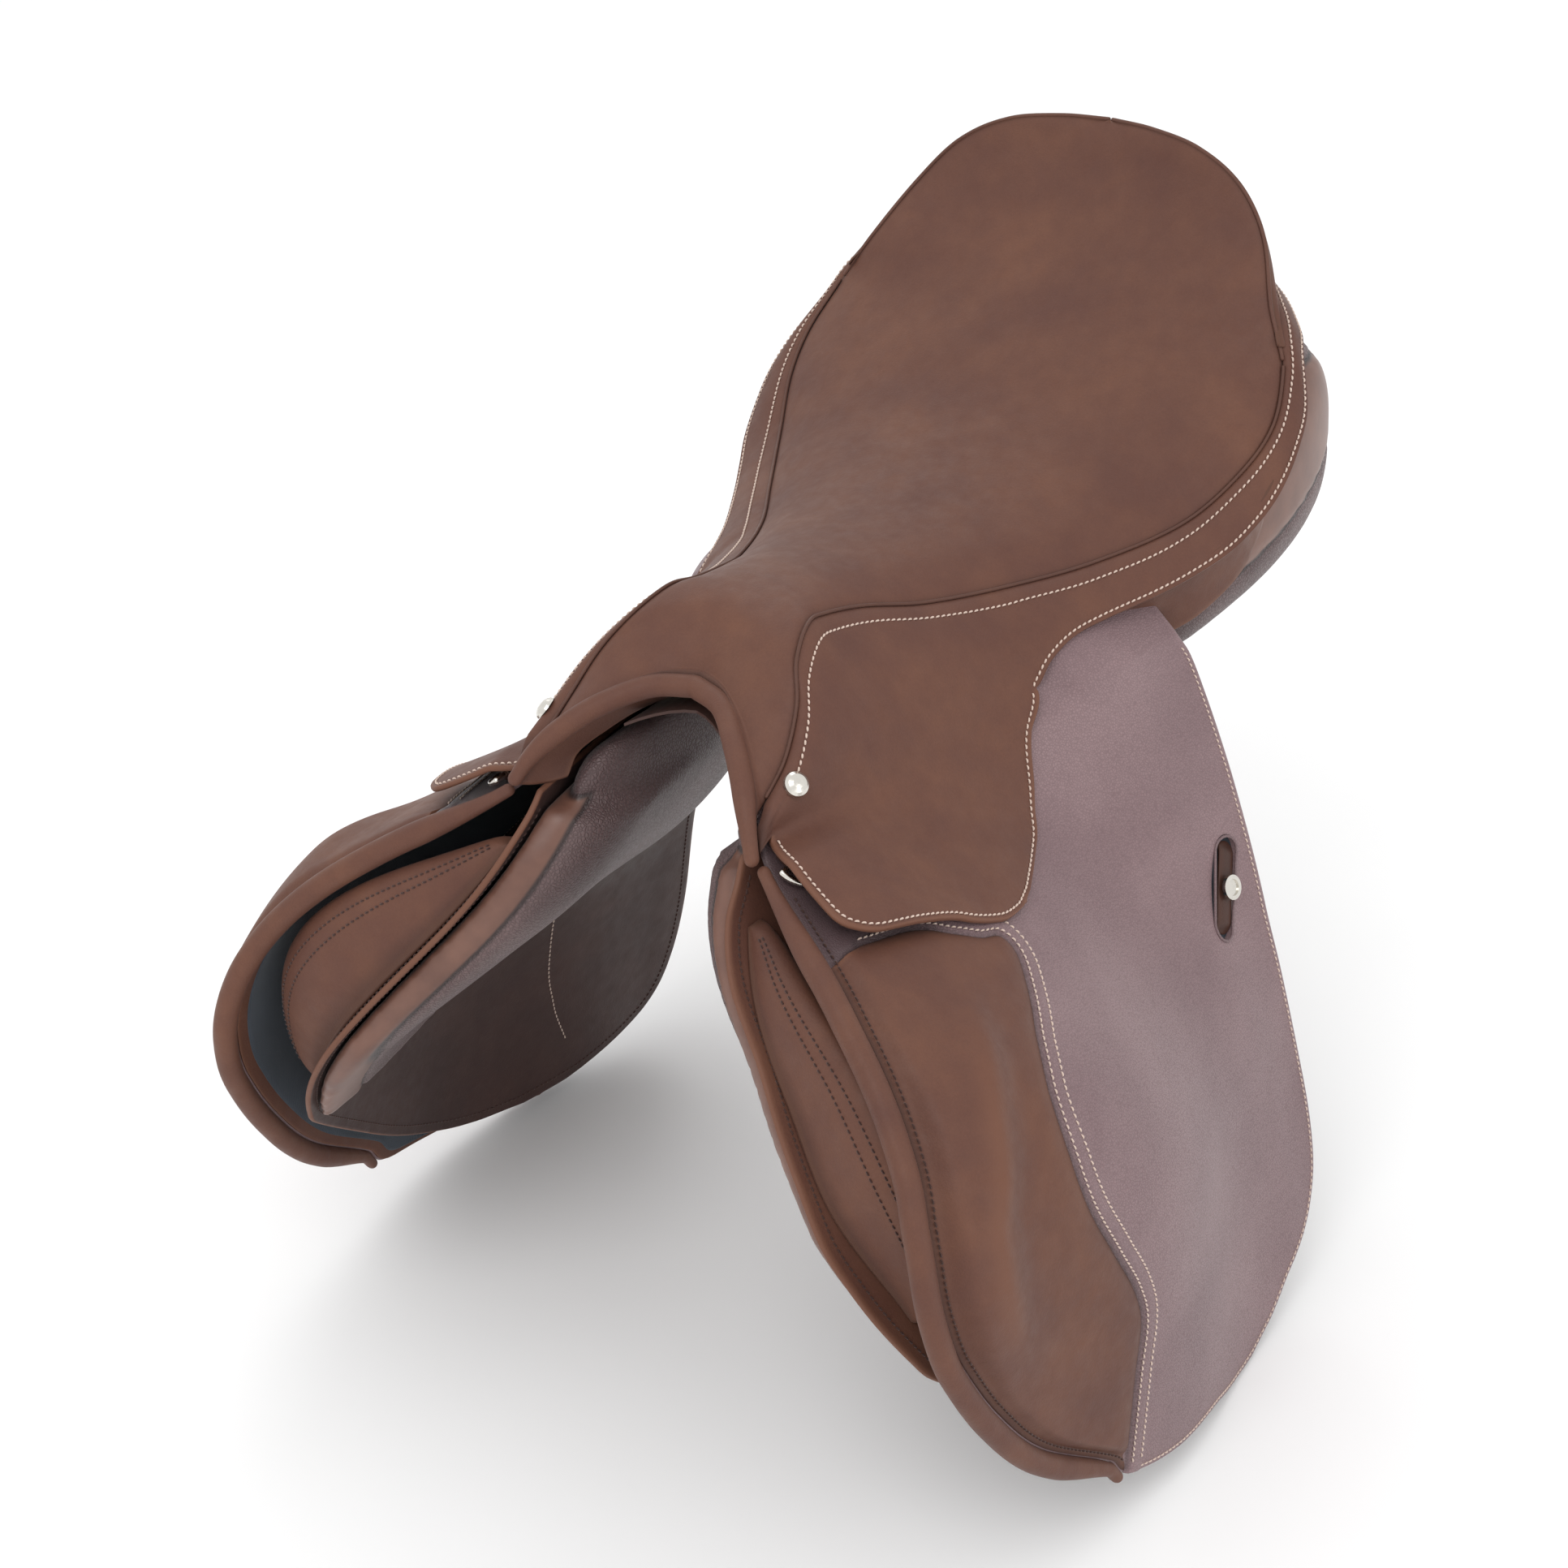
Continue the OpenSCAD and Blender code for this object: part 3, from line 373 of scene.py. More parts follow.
def stitches(name, path, normal, side, material, pitch=3.2, length=2.35, radius=0.5, slant=0.35):
    """A row of single stitches along a path: each a short thread that dips into the leather at both ends."""
    path, normal = np.asarray(path, float), unit(np.asarray(normal, float))
    s = run(path)
    starts = np.arange(pitch / 2, s[-1] - length, pitch)
    share = np.array([0, 0.12, 0.32, 0.68, 0.88, 1.0])
    girth = np.array([0.35, 0.8, 1.0, 1.0, 0.8, 0.35]) * radius
    rise = np.array([-0.55, 0.05, 0.45, 0.45, 0.05, -0.55]) * radius
    want = starts[:, None] + share[None] * length
    at = np.stack([np.interp(want, s, path[:, k]) for k in range(3)], -1)
    out = unit(np.stack([np.interp(want, s, normal[:, k]) for k in range(3)], -1))
    forward = unit(at[:, -1:] - at[:, :1])
    across = unit(np.cross(out, forward))
    centre = at + out * rise[None, :, None] + across * ((share - 0.5) * slant)[None, :, None]
    a = 2 * np.pi * np.arange(6) / 6
    turn = (across[:, :, None] * np.cos(a)[None, None, :, None]
            + out[:, :, None] * np.sin(a)[None, None, :, None])
    rings = centre[:, :, None] + girth[None, :, None, None] * turn
    n, m = len(starts), len(share)
    verts = rings.reshape(-1, 3)
    one = np.array(grid_faces(m, 6, wrap=True))
    faces = (one[None] + (np.arange(n) * m * 6)[:, None, None]).reshape(-1, 4).tolist()
    for k in range(n):
        base = k * m * 6
        faces.append([base + j for j in range(6)][::-1])
        faces.append([base + (m - 1) * 6 + j for j in range(6)])
    return make(name, verts, faces, side, material, recalc=True)


def join(name, objects):
    """One object from several."""
    bm = bmesh.new()
    for o in objects:
        bm.from_mesh(o.data)
    keep = objects[0]
    bm.to_mesh(keep.data)
    bm.free()
    for o in objects[1:]:
        bpy.data.objects.remove(o)
    keep.name = name
    keep.data.polygons.foreach_set("use_smooth", [True] * len(keep.data.polygons))
    return keep


# ---------------------------------------------------------------- materials

def rgb(r, g, b):
    """Linear colour from display values of 0 to 255."""
    shares = (c / 255 for c in (r, g, b))
    return tuple(c / 12.92 if c <= 0.04045 else ((c + 0.055) / 1.055) ** 2.4 for c in shares) + (1.0,)


class Nodes:
    """Short calls for building a material's node tree."""

    def __init__(self, name):
        self.material = bpy.data.materials.new(name)
        self.material.use_nodes = True
        self.tree = self.material.node_tree
        self.shader = self.tree.nodes["Principled BSDF"]
        self.place = self.add("ShaderNodeTexCoord").outputs["Object"]

    def add(self, kind, **values):
        node = self.tree.nodes.new(kind)
        for key, value in values.items():
            if hasattr(node, key):
                setattr(node, key, value)
            else:
                self.put(node.inputs[key.replace("_", " ")], value)
        return node

    def put(self, socket, value):
        if isinstance(value, bpy.types.NodeSocket):
            self.tree.links.new(value, socket)
        else:
            socket.default_value = value

    def noise(self, scale, detail=3.0, roughness=0.5):
        return self.add("ShaderNodeTexNoise", Vector=self.place, Scale=scale, Detail=detail,
                        Roughness=roughness).outputs[0]

    def cells(self, scale, feature="F1", vector=None):
        return self.add("ShaderNodeTexVoronoi", feature=feature, Vector=vector or self.place,
                        Scale=scale).outputs["Distance"]

    def span(self, value, low, high, to_low=0.0, to_high=1.0):
        node = self.add("ShaderNodeMapRange")
        for key, number in (("Value", value), ("From Min", low), ("From Max", high), ("To Min", to_low),
                            ("To Max", to_high)):
            self.put(node.inputs[key], number)
        return node.outputs[0]

    def math(self, operation, a, b=0.5):
        node = self.add("ShaderNodeMath", operation=operation)
        self.put(node.inputs[0], a)
        self.put(node.inputs[1], b)
        return node.outputs[0]

    def blend(self, factor, a, b, mode="MIX"):
        node = self.add("ShaderNodeMix", data_type="RGBA", blend_type=mode)
        self.put(node.inputs["Factor"], factor)
        self.put(node.inputs["A"], a)
        self.put(node.inputs["B"], b)
        return node.outputs["Result"]

    def attribute(self, name):
        return self.add("ShaderNodeAttribute", attribute_name=name).outputs["Fac"]

    def bump(self, height, strength, distance, normal=None):
        node = self.add("ShaderNodeBump")
        self.put(node.inputs["Strength"], strength)
        self.put(node.inputs["Distance"], distance)
        self.put(node.inputs["Height"], height)
        if normal is not None:
            self.put(node.inputs["Normal"], normal)
        return node.outputs[0]

    def finish(self, **values):
        for key, value in values.items():
            self.put(self.shader.inputs[key.replace("_", " ")], value)
        return self.material


def smooth_leather(name, light, mid, dark, roughness=0.52, grain=1.0):
    """Waxed nubuck: soft mottling, tiny pores, paler where it is rubbed and along any line of painted
    highlight, and darker where painted shade is given in the seams.
    """
    m = Nodes(name)
    clouds = m.span(m.noise(17, 4, 0.6), 0.32, 0.68)
    patches = m.span(m.noise(75, 3, 0.6), 0.35, 0.65)
    specks = m.span(m.noise(900, 2, 0.7), 0.3, 0.7)
    colour = m.blend(m.math("MULTIPLY", clouds, 0.75), mid, light)
    colour = m.blend(m.math("MULTIPLY", patches, 0.35), colour, mid)
    colour = m.blend(m.math("MULTIPLY", specks, 0.12), colour, dark)
    # paler near worn edges, and a painted highlight along the knee pad's ridge, which comes in the same edge
    # attribute
    rub_and_highlight = m.span(m.attribute("edge"), 0.2, 2.4, 0.7, 0.0)
    colour = m.blend(rub_and_highlight, colour, light)
    # painted shade from the shade attribute: seams, creases and places under other parts
    colour = m.blend(m.attribute("shade"), colour, dark)
    pores = m.cells(1050)
    height = m.math("ADD", m.math("MULTIPLY", pores, 0.6), m.math("MULTIPLY", m.noise(620, 3, 0.6), 0.8))
    normal = m.bump(height, 0.16 * grain, 0.0006)
    normal = m.bump(m.noise(48, 3, 0.5), 0.10, 0.004, normal)
    rough = m.span(m.noise(130, 3, 0.6), 0.3, 0.7, roughness - 0.07, roughness + 0.07)
    return m.finish(Base_Color=colour, Roughness=rough, Normal=normal, Specular_IOR_Level=0.28,
                    Sheen_Weight=0.03, Sheen_Roughness=0.5)


def grain_leather(name, light, mid, dark, scale=760.0, depth=0.3, roughness=0.45, sheen=0.1, smooth=None):
    """Printed pebble grain: rounded cells with fine valleys between them.

    smooth gives the light and mid colours of the plain leather that takes over where the facing attribute is 1.
    """
    m = Nodes(name)
    bent = m.add("ShaderNodeVectorMath", operation="ADD")
    m.put(bent.inputs[0], m.place)
    warp = m.add("ShaderNodeVectorMath", operation="SCALE")
    m.put(warp.inputs[0], m.add("ShaderNodeTexNoise", Vector=m.place, Scale=scale * 0.5, Detail=2.0).outputs[1])
    m.put(warp.inputs["Scale"], 0.0007)
    m.put(bent.inputs[1], warp.outputs[0])
    valley = m.span(m.cells(scale, "DISTANCE_TO_EDGE", bent.outputs[0]), 0.0, 0.22)
    clouds = m.span(m.noise(13, 4, 0.55), 0.3, 0.7)
    colour = m.blend(clouds, mid, light)
    colour = m.blend(m.span(valley, 0.0, 1.0, 0.30, 0.0), colour, dark)
    if smooth:
        facing = m.attribute("facing")
        plain = m.span(facing, 0.46, 0.54)
        colour = m.blend(plain, colour, m.blend(m.span(m.noise(40, 4, 0.6), 0.32, 0.68), smooth[1], smooth[0]))
        valley = m.math("MAXIMUM", valley, plain)
    # paler near worn edges; a line of painted highlight given in the edge attribute is made paler here the same
    # way
    rub_and_highlight = m.span(m.attribute("edge"), 0.2, 2.0, 0.45, 0.0)
    colour = m.blend(rub_and_highlight, colour, light)
    if smooth:
        off_seam = m.math("ABSOLUTE", m.math("SUBTRACT", facing, 0.5))
        colour = m.blend(m.span(off_seam, 0.03, 0.11, 0.85, 0.0), colour, dark)
    # painted shade from the shade attribute: creases and places under other parts
    colour = m.blend(m.attribute("shade"), colour, dark)
    normal = m.bump(valley, depth, 0.0006)
    normal = m.bump(m.noise(36, 3, 0.5), 0.08, 0.004, normal)
    rough = m.span(valley, 0.0, 1.0, roughness + 0.2, roughness)
    return m.finish(Base_Color=colour, Roughness=rough, Normal=normal, Specular_IOR_Level=0.5,
                    Sheen_Weight=sheen, Sheen_Roughness=0.4)


def thread(name, colour, dark):
    """Twisted sewing thread."""
    m = Nodes(name)
    twist = m.add("ShaderNodeTexWave", Vector=m.place, Scale=900.0, Distortion=3.0, Detail=1.0).outputs["Fac"]
    return m.finish(Base_Color=m.blend(m.math("MULTIPLY", twist, 0.45), colour, dark), Roughness=0.7,
                    Normal=m.bump(twist, 0.4, 0.0002), Sheen_Weight=0.2, Specular_IOR_Level=0.3)


def cloth(name, colour, dark, scale=1500.0):
    """Close plain weave."""
    m = Nodes(name)
    waves = []
    for axis in ("X", "Z"):
        node = m.add("ShaderNodeTexWave", wave_type="BANDS", bands_direction=axis, Vector=m.place, Scale=scale,
                     Distortion=0.6)
        waves.append(node.outputs["Fac"])
    weave = m.math("MULTIPLY", waves[0], waves[1])
    tone = m.span(m.noise(30, 3, 0.5), 0.3, 0.7)
    base = m.blend(m.math("MULTIPLY", tone, 0.5), colour, dark)
    base = m.blend(m.span(weave, 0.0, 0.6, 0.35, 0.0), base, dark)
    # painted shade from the shade attribute, as round the keeper slot in the flap lining
    base = m.blend(m.attribute("shade"), base, dark)
    return m.finish(Base_Color=base, Roughness=0.88, Normal=m.bump(weave, 0.3, 0.0004), Sheen_Weight=0.15,
                    Specular_IOR_Level=0.25)


def metal(name, colour, roughness, brushed=0.0):
    m = Nodes(name)
    smear = m.noise(260, 4, 0.65)
    rough = m.span(smear, 0.3, 0.7, roughness * 0.75, roughness * 1.3)
    scratch = m.add("ShaderNodeTexNoise", Vector=m.place, Scale=2200.0, Detail=2.0).outputs[0]
    base = m.blend(m.math("MULTIPLY", smear, 0.25), colour, rgb(120, 118, 112))
    return m.finish(Base_Color=base, Metallic=1.0, Roughness=rough,
                    Normal=m.bump(scratch, 0.03 + brushed, 0.0002))


def wood(name):
    m = Nodes(name)
    wave = m.add("ShaderNodeTexWave", wave_type="RINGS", Vector=m.place, Scale=22.0, Distortion=9.0, Detail=3.0)
    rings = wave.outputs["Fac"]
    colour = m.blend(rings, rgb(205, 165, 110), rgb(160, 115, 70))
    return m.finish(Base_Color=colour, Roughness=0.55, Normal=m.bump(rings, 0.2, 0.0005))


def foam(name):
    m = Nodes(name)
    cells = m.cells(700)
    return m.finish(Base_Color=m.blend(cells, rgb(196, 180, 128), rgb(228, 216, 170)), Roughness=0.95,
                    Normal=m.bump(cells, 0.5, 0.0008))


NUBUCK = smooth_leather("nubuck_brown", rgb(112, 74, 56), rgb(90, 57, 47), rgb(42, 26, 22), 0.58)
WELT = smooth_leather("welt_brown", rgb(106, 71, 56), rgb(88, 57, 47), rgb(42, 27, 22), 0.5)
GRAIN = grain_leather("grain_mauve", rgb(137, 112, 114), rgb(118, 93, 96), rgb(64, 47, 49))
PANEL_SKIN = grain_leather("panel_leather", rgb(108, 86, 85), rgb(84, 65, 65), rgb(38, 28, 28), 560.0, 0.5,
                           0.42, smooth=(rgb(116, 80, 66), rgb(98, 66, 55)))
SWEAT = smooth_leather("sweat_brown", rgb(72, 49, 43), rgb(56, 37, 34), rgb(26, 17, 16), 0.42, 0.8)
STRAP = smooth_leather("strap_brown", rgb(74, 46, 36), rgb(58, 36, 29), rgb(28, 17, 14), 0.42, 0.8)
LINING = cloth("lining_slate", rgb(72, 80, 90), rgb(38, 44, 52))
WEB = cloth("seat_web", rgb(196, 182, 150), rgb(140, 126, 98), 500.0)
THREAD = thread("thread_beige", rgb(222, 200, 186), rgb(150, 124, 110))
DARK_THREAD = thread("thread_brown", rgb(70, 42, 34), rgb(30, 18, 16))
NICKEL = metal("nickel", rgb(226, 222, 214), 0.2)
STEEL = metal("tree_steel_dark", rgb(150, 150, 152), 0.42, 0.05)
WOOD = wood("laminated_wood")
FOAM = foam("seat_foam_open")


# ---------------------------------------------------------------- helpers for the pieces

def body(side, part):
    return f"{side}_{part}"


def place(obj, body_name, replaces=()):
    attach(obj, body_name)
    if replaces:
        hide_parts(*replaces)
    return obj


def offset_row(path, distance, surface=None):
    """A (y, drop) path moved sideways over its surface by a distance; positive is towards the front or up."""
    surface = surface or flap_point
    p = np.asarray(path, float)
    y, t = p[:, 0], p[:, 1]
    along_y, along_t = surface(y + 0.5, t) - surface(y - 0.5, t), surface(y, t + 0.5) - surface(y, t - 0.5)
    step = np.gradient(p, axis=0)
    tangent = unit(along_y * step[:, :1] + along_t * step[:, 1:])
    move = unit(np.cross(tangent, outward(surface, y, t))) * distance
    a, b, c = (along_y**2).sum(-1), (along_y * along_t).sum(-1), (along_t**2).sum(-1)
    u, v = (along_y * move).sum(-1), (along_t * move).sum(-1)
    det = a * c - b * b
    return p + np.stack([(c * u - b * v) / det, (a * v - b * u) / det], -1)


def side_row(path, surface, out):
    """Points and outward vectors of a (y, drop) path laid on a side surface."""
    p = np.asarray(path, float)
    return on(surface, p[:, 0], p[:, 1], out), outward(surface, p[:, 0], p[:, 1])


def outline(table, t0, t1, n):
    """Points (y, drop) along an outline between two drops."""
    t = np.linspace(t0, t1, n)
    return np.stack([curve(table, t), t], -1)


def patch(surface, fore, aft, t, share):
    """A grid of y, drop, points and outward vectors between two lines of y, one row for each drop."""
    y = mix(np.asarray(fore)[:, None], np.asarray(aft)[:, None], share[None])
    t = np.broadcast_to(t[:, None], y.shape)
    return y, t, surface(y, t), outward(surface, y, t)


def sew(name, side, row, normal, thread, radius, body_name):
    """A row of stitches that rides on a body."""
    place(stitches(f"{name}_{side}", row, normal, side, thread, radius=radius), body_name)


# ---------------------------------------------------------------- seat

LEAD_ROWS = 6


def carry_to_arch(outer, inner, shade, goal, thick, rise):
    """Rows that carry a sheet's front edge on to a line at the arch, with painted shade that deepens towards
    the roll there.
    """
    k = np.linspace(0, 1, LEAD_ROWS + 1)[:-1, None, None]
    over = np.array(rise) * np.sin(np.pi * k)
    lead = mix(goal[None], outer[:1], k) + over
    lead_inner = mix(goal[None] - thick, inner[:1], k) + over
    lead_shade = np.linspace(0.7, 0.1, LEAD_ROWS)[:, None] + 0 * shade[:LEAD_ROWS]
    pairs = ((lead, outer), (lead_inner, inner), (lead_shade, shade))
    return [np.concatenate(pair) for pair in pairs]


def seat():
    """The seat leather, its front edge carried on to the roll at the arch."""
    v, u = np.meshgrid(np.linspace(0, 100, 230), np.linspace(-1, 1, 131), indexing="ij")
    half = np.maximum(curve(SEAM_LINE, v)[..., 0], 8)
    from_seam = (1 - np.abs(u)) * half
    tuck = 2.0 * np.exp(-(from_seam / 3.2) ** 1.3)
    swell = 2.2 * ease(0, 26, from_seam) * ease(24, 44, v) * ease(99, 90, v)
    outer = seat_point(v, u)
    outer[..., 2] += -tuck + swell
    inner = seat_point(v, u * 0.985, 2.6)
    inner[..., 2] -= 2.2 * np.exp(-(from_seam / 3.2) ** 1.3)
    lip = curve(ARCH, 5 * (1 - np.abs(u[0]) * 0.86)) * np.stack([np.sign(u[0]), 1 + 0 * u[0], 1 + 0 * u[0]], -1)
    # painted shade in the tuck along the seam
    shade = 0.3 * np.exp(-(from_seam / 1.6) ** 2)
    outer, inner, shade = carry_to_arch(outer, inner, shade, lip + [0, 2.5, 2.5], [0, 0, 2.4], [0, 0, 1.6])
    o = leather("seat_leather", outer, inner, "near", NUBUCK, 0.4, shade, joined="left right")
    place(o, "saddle", ["seat_cover"])
    v, u = np.meshgrid(np.linspace(6, 97, 90), np.linspace(-0.94, 0.94, 61), indexing="ij")
    thick = 9.0 * np.sin(np.pi * np.clip((1 - np.abs(u)) * 3.2, 0, 0.5)) + 1.5
    top = seat_point(v, u, 5.2)
    o = leather("seat_foam_pad", top, top - np.stack([0 * u, 0 * u, thick], -1), "near", FOAM, 0.3)
    place(o, "saddle", ["seat_foam"])


def strip_grid(vs, us):
    v, u = np.meshgrid(vs, us, indexing="ij")
    a, b = curve(STRIP_SEAM, v), curve(STRIP_EDGE, v)
    swell = np.sin(np.pi * u) * (7 * (1 - ease(35, 52, v)) + 2.0 * ease(40, 52, v) * ease(92, 80, v))
    return mix(a, b, u[..., None]) + np.array([0.62, 0, 0.78]) * swell[..., None]


def grid_normals(p):
    """Outward normals of a near-side grid."""
    n = unit(np.cross(np.gradient(p, axis=1), np.gradient(p, axis=0)))
    return n if n[..., 0].mean() > 0 else -n


def skirt_stand(y, t):
    """How far the skirt leaf stands off the flap."""
    return SKIRT_T + 0.9 + 9 * ease(-120, -185, y) * ease(0, 14, t)


FOLD_END = 44.0
EDGE_ROW = 2.4
FOLD_V = np.linspace(0, FOLD_END, 110)
STRIP_U = np.concatenate([[0.0, 0.02, 0.045], np.linspace(0.075, 1.0, 44)])


def strip_and_skirt():
    """One grid for the front of the strip and the leaf below the fold, so the bend is one smooth surface."""
    strip = strip_grid(FOLD_V, STRIP_U)
    leaf_t = np.concatenate([np.linspace(0, 22, 22)[1:], np.linspace(22, 60.4, 62)[1:]])
    fold = strip[:, -1]
    f = ((fold[:, 1] - fold[0, 1]) / (fold[-1, 1] - fold[0, 1]))[:, None]
    t = np.broadcast_to(leaf_t[None], (len(FOLD_V), len(leaf_t)))
    y = mix(curve(SKIRT_FORE, leaf_t)[None], curve(SKIRT_AFT, leaf_t)[None], f)
    leaf = on(flap_point, y, t, skirt_stand(y, t))
    straight = fold[:, None] + np.stack([0.25 * t, 0 * t, -t], -1)
    leaf = mix(leaf, mix(leaf, straight, 0.8), (1 - ease(0, 9, t))[..., None])
    whole = np.concatenate([strip, leaf], 1)
    nf = len(STRIP_U)
    w = np.zeros(whole.shape[1])
    w[nf - 9:nf + 10] = 1
    w = w[None] * mix(1.0, 0.25, ease(34, FOLD_END, FOLD_V))[:, None]
    for _ in range(14):
        smooth = whole.copy()
        smooth[:, 1:-1] = (whole[:, :-2] + 2 * whole[:, 1:-1] + whole[:, 2:]) / 4
        whole = mix(whole, smooth, w[..., None])
    return whole, grid_normals(whole), nf


def rows_of(whole, distance):
    """For each row of a grid, the point at its own distance from the row's start."""
    out = []
    for row, far in zip(whole, distance):
        out.append([np.interp(far, run(row), row[:, k]) for k in range(3)])
    return np.array(out)


def line_normals(path, points, normals):
    """Normals of a point set, read at each point of a path from its nearest neighbour and then evened."""
    n = normals.reshape(-1, 3)[path_nearest(path, points.reshape(-1, 3))[1]]
    for _ in range(6):
        n[1:-1] = (n[:-2] + 2 * n[1:-1] + n[2:]) / 4
    return unit(n)


def build_strip_and_skirt(side):
    whole, normal, nf = strip_and_skirt()
    v_rear = np.linspace(FOLD_END, 100, 150)[1:]
    bent = whole[-1, :nf] - strip_grid(FOLD_V[-1:], STRIP_U)[0]
    rear = strip_grid(v_rear, STRIP_U) + bent * ease(FOLD_END + 5, FOLD_END, v_rear)[:, None, None]
    strip = np.concatenate([whole[:, :nf], rear])
    front = len(FOLD_V)
    strip_n = grid_normals(strip)
    strip_n[:front] = normal[:, :nf]
    for _ in range(5):
        strip_n[front - 5:front + 5] = (strip_n[front - 6:front + 4] + 2 * strip_n[front - 5:front + 5]
                                        + strip_n[front - 4:front + 6]) / 4
    strip_n = unit(strip_n)
    leaf, leaf_n = whole[:, nf - 1:], normal[:, nf - 1:]
    # the free edge in one run: down from the cantle, round the corner of the fold, along the leaf, up its front
    split = len(v_rear)
    free = np.concatenate([strip[front:][::-1, -1], leaf[-1], leaf[::-1, -1][1:], leaf[0][::-1][1:]])
    free = along(free, spacing=0.8)
    free_n = line_normals(free, np.concatenate([strip.reshape(-1, 3), leaf.reshape(-1, 3)]),
                          np.concatenate([strip_n.reshape(-1, 3), leaf_n.reshape(-1, 3)]))
    inward = unit(np.cross(free_n, unit(np.gradient(free, axis=0))))
    probes = np.stack([free[40] + inward[40] * 4, free[40] - inward[40] * 4])
    into, away = path_distance(probes, strip.reshape(-1, 3))
    if into > away:
        inward = -inward
    row = free + inward * EDGE_ROW
    kernel = np.ones(9) / 9
    padded = np.concatenate([[row[0]] * 4, row, [row[-1]] * 4])
    row = np.stack([np.convolve(padded[:, k], kernel, "valid") for k in range(3)], -1)
    on_leaf = path_distance(row, leaf.reshape(-1, 3)) <= path_distance(row, strip.reshape(-1, 3))
    cut = int(np.argmax(on_leaf))
    # leather of the strip
    from_seam = mix(10.5, 7.0, ease(50, 74, np.concatenate([FOLD_V, v_rear])))
    seam = np.linalg.norm(strip - strip[:, :1], axis=-1)
    rim = path_distance(strip, free)
    tuck = 1.7 * np.exp(-(seam / 3.0) ** 1.3)
    groove = 0.4 * np.exp(-((seam - from_seam[:, None]) / 1.3) ** 2)
    groove = groove + 0.35 * np.exp(-((rim - EDGE_ROW) / 1.2) ** 2)
    outer = strip - strip_n * (tuck + groove)[..., None]
    inner = strip - strip_n * (SKIRT_T + tuck * 0.6)[..., None]
    # painted shade in the tuck along the seat seam
    shade = 0.3 * np.exp(-(seam / 1.5) ** 2)
    goal = curve(ARCH, 0.75 - 0.7 * STRIP_U) + [2.5, 3.5, 1.5]
    outer, inner, shade = carry_to_arch(outer, inner, shade, goal, [1.5, 0, 2.0], [0.6, 0, 1.2])
    level = np.zeros(outer.shape)
    level[LEAD_ROWS:LEAD_ROWS + front, -4:] = normal[:, nf - 4:nf]
    top = leather(f"skirt_strip_leather_{side}", outer, inner, side, NUBUCK, 0.45, shade, normals=level,
                  joined="right left top")
    place(top, "saddle", [f"skirt_strip_{side}"])
    seam_row = rows_of(strip, from_seam)
    seam_n = line_normals(seam_row, strip, strip_n)
    good = slice(9, len(strip) - 1)
    sew("seam_stitches", side, (seam_row - seam_n * 0.15)[good], seam_n[good], THREAD, 0.5, "saddle")
    row = row - free_n * 0.1
    sew("strip_edge_stitches", side, row[:cut], free_n[:cut], THREAD, 0.5, "saddle")
    # the thin piping let into the seat seam, with a little painted shade where it sits in the seam
    path = strip[2:int(front + split * 0.6), 0] + np.array([0.3, 0, -0.9])
    o = tube(f"seat_piping_{side}", along(path, spacing=2.0), 0.85, side, WELT, 10, 0.15)
    place(o, "saddle", [f"seat_welt_{side}"])
    # the leaf
    d = path_distance(leaf, free)
    groove = 0.35 * np.exp(-((d - EDGE_ROW) / 1.2) ** 2)
    level = np.zeros(leaf.shape)
    level[:, :4] = leaf_n[:, :4]
    o = leather(f"skirt_leaf_{side}", leaf - leaf_n * groove[..., None], leaf - leaf_n * SKIRT_T, side, NUBUCK,
                0.45, normals=level, joined="left")
    place(o, body(side, "skirt"), [f"skirt_{side}"])
    sew("skirt_stitches", side, row[cut:], free_n[cut:], THREAD, 0.5, body(side, "skirt"))


# ---------------------------------------------------------------- flaps

def pad_edge(n=220, inset=0.0):
    """The (y, drop) line from the top front of the knee pad over its rear corner down to its tip."""
    p = along(outline(PAD_REAR, 33.5, 302, 400), count=n)
    return offset_row(p, -inset) if inset else p


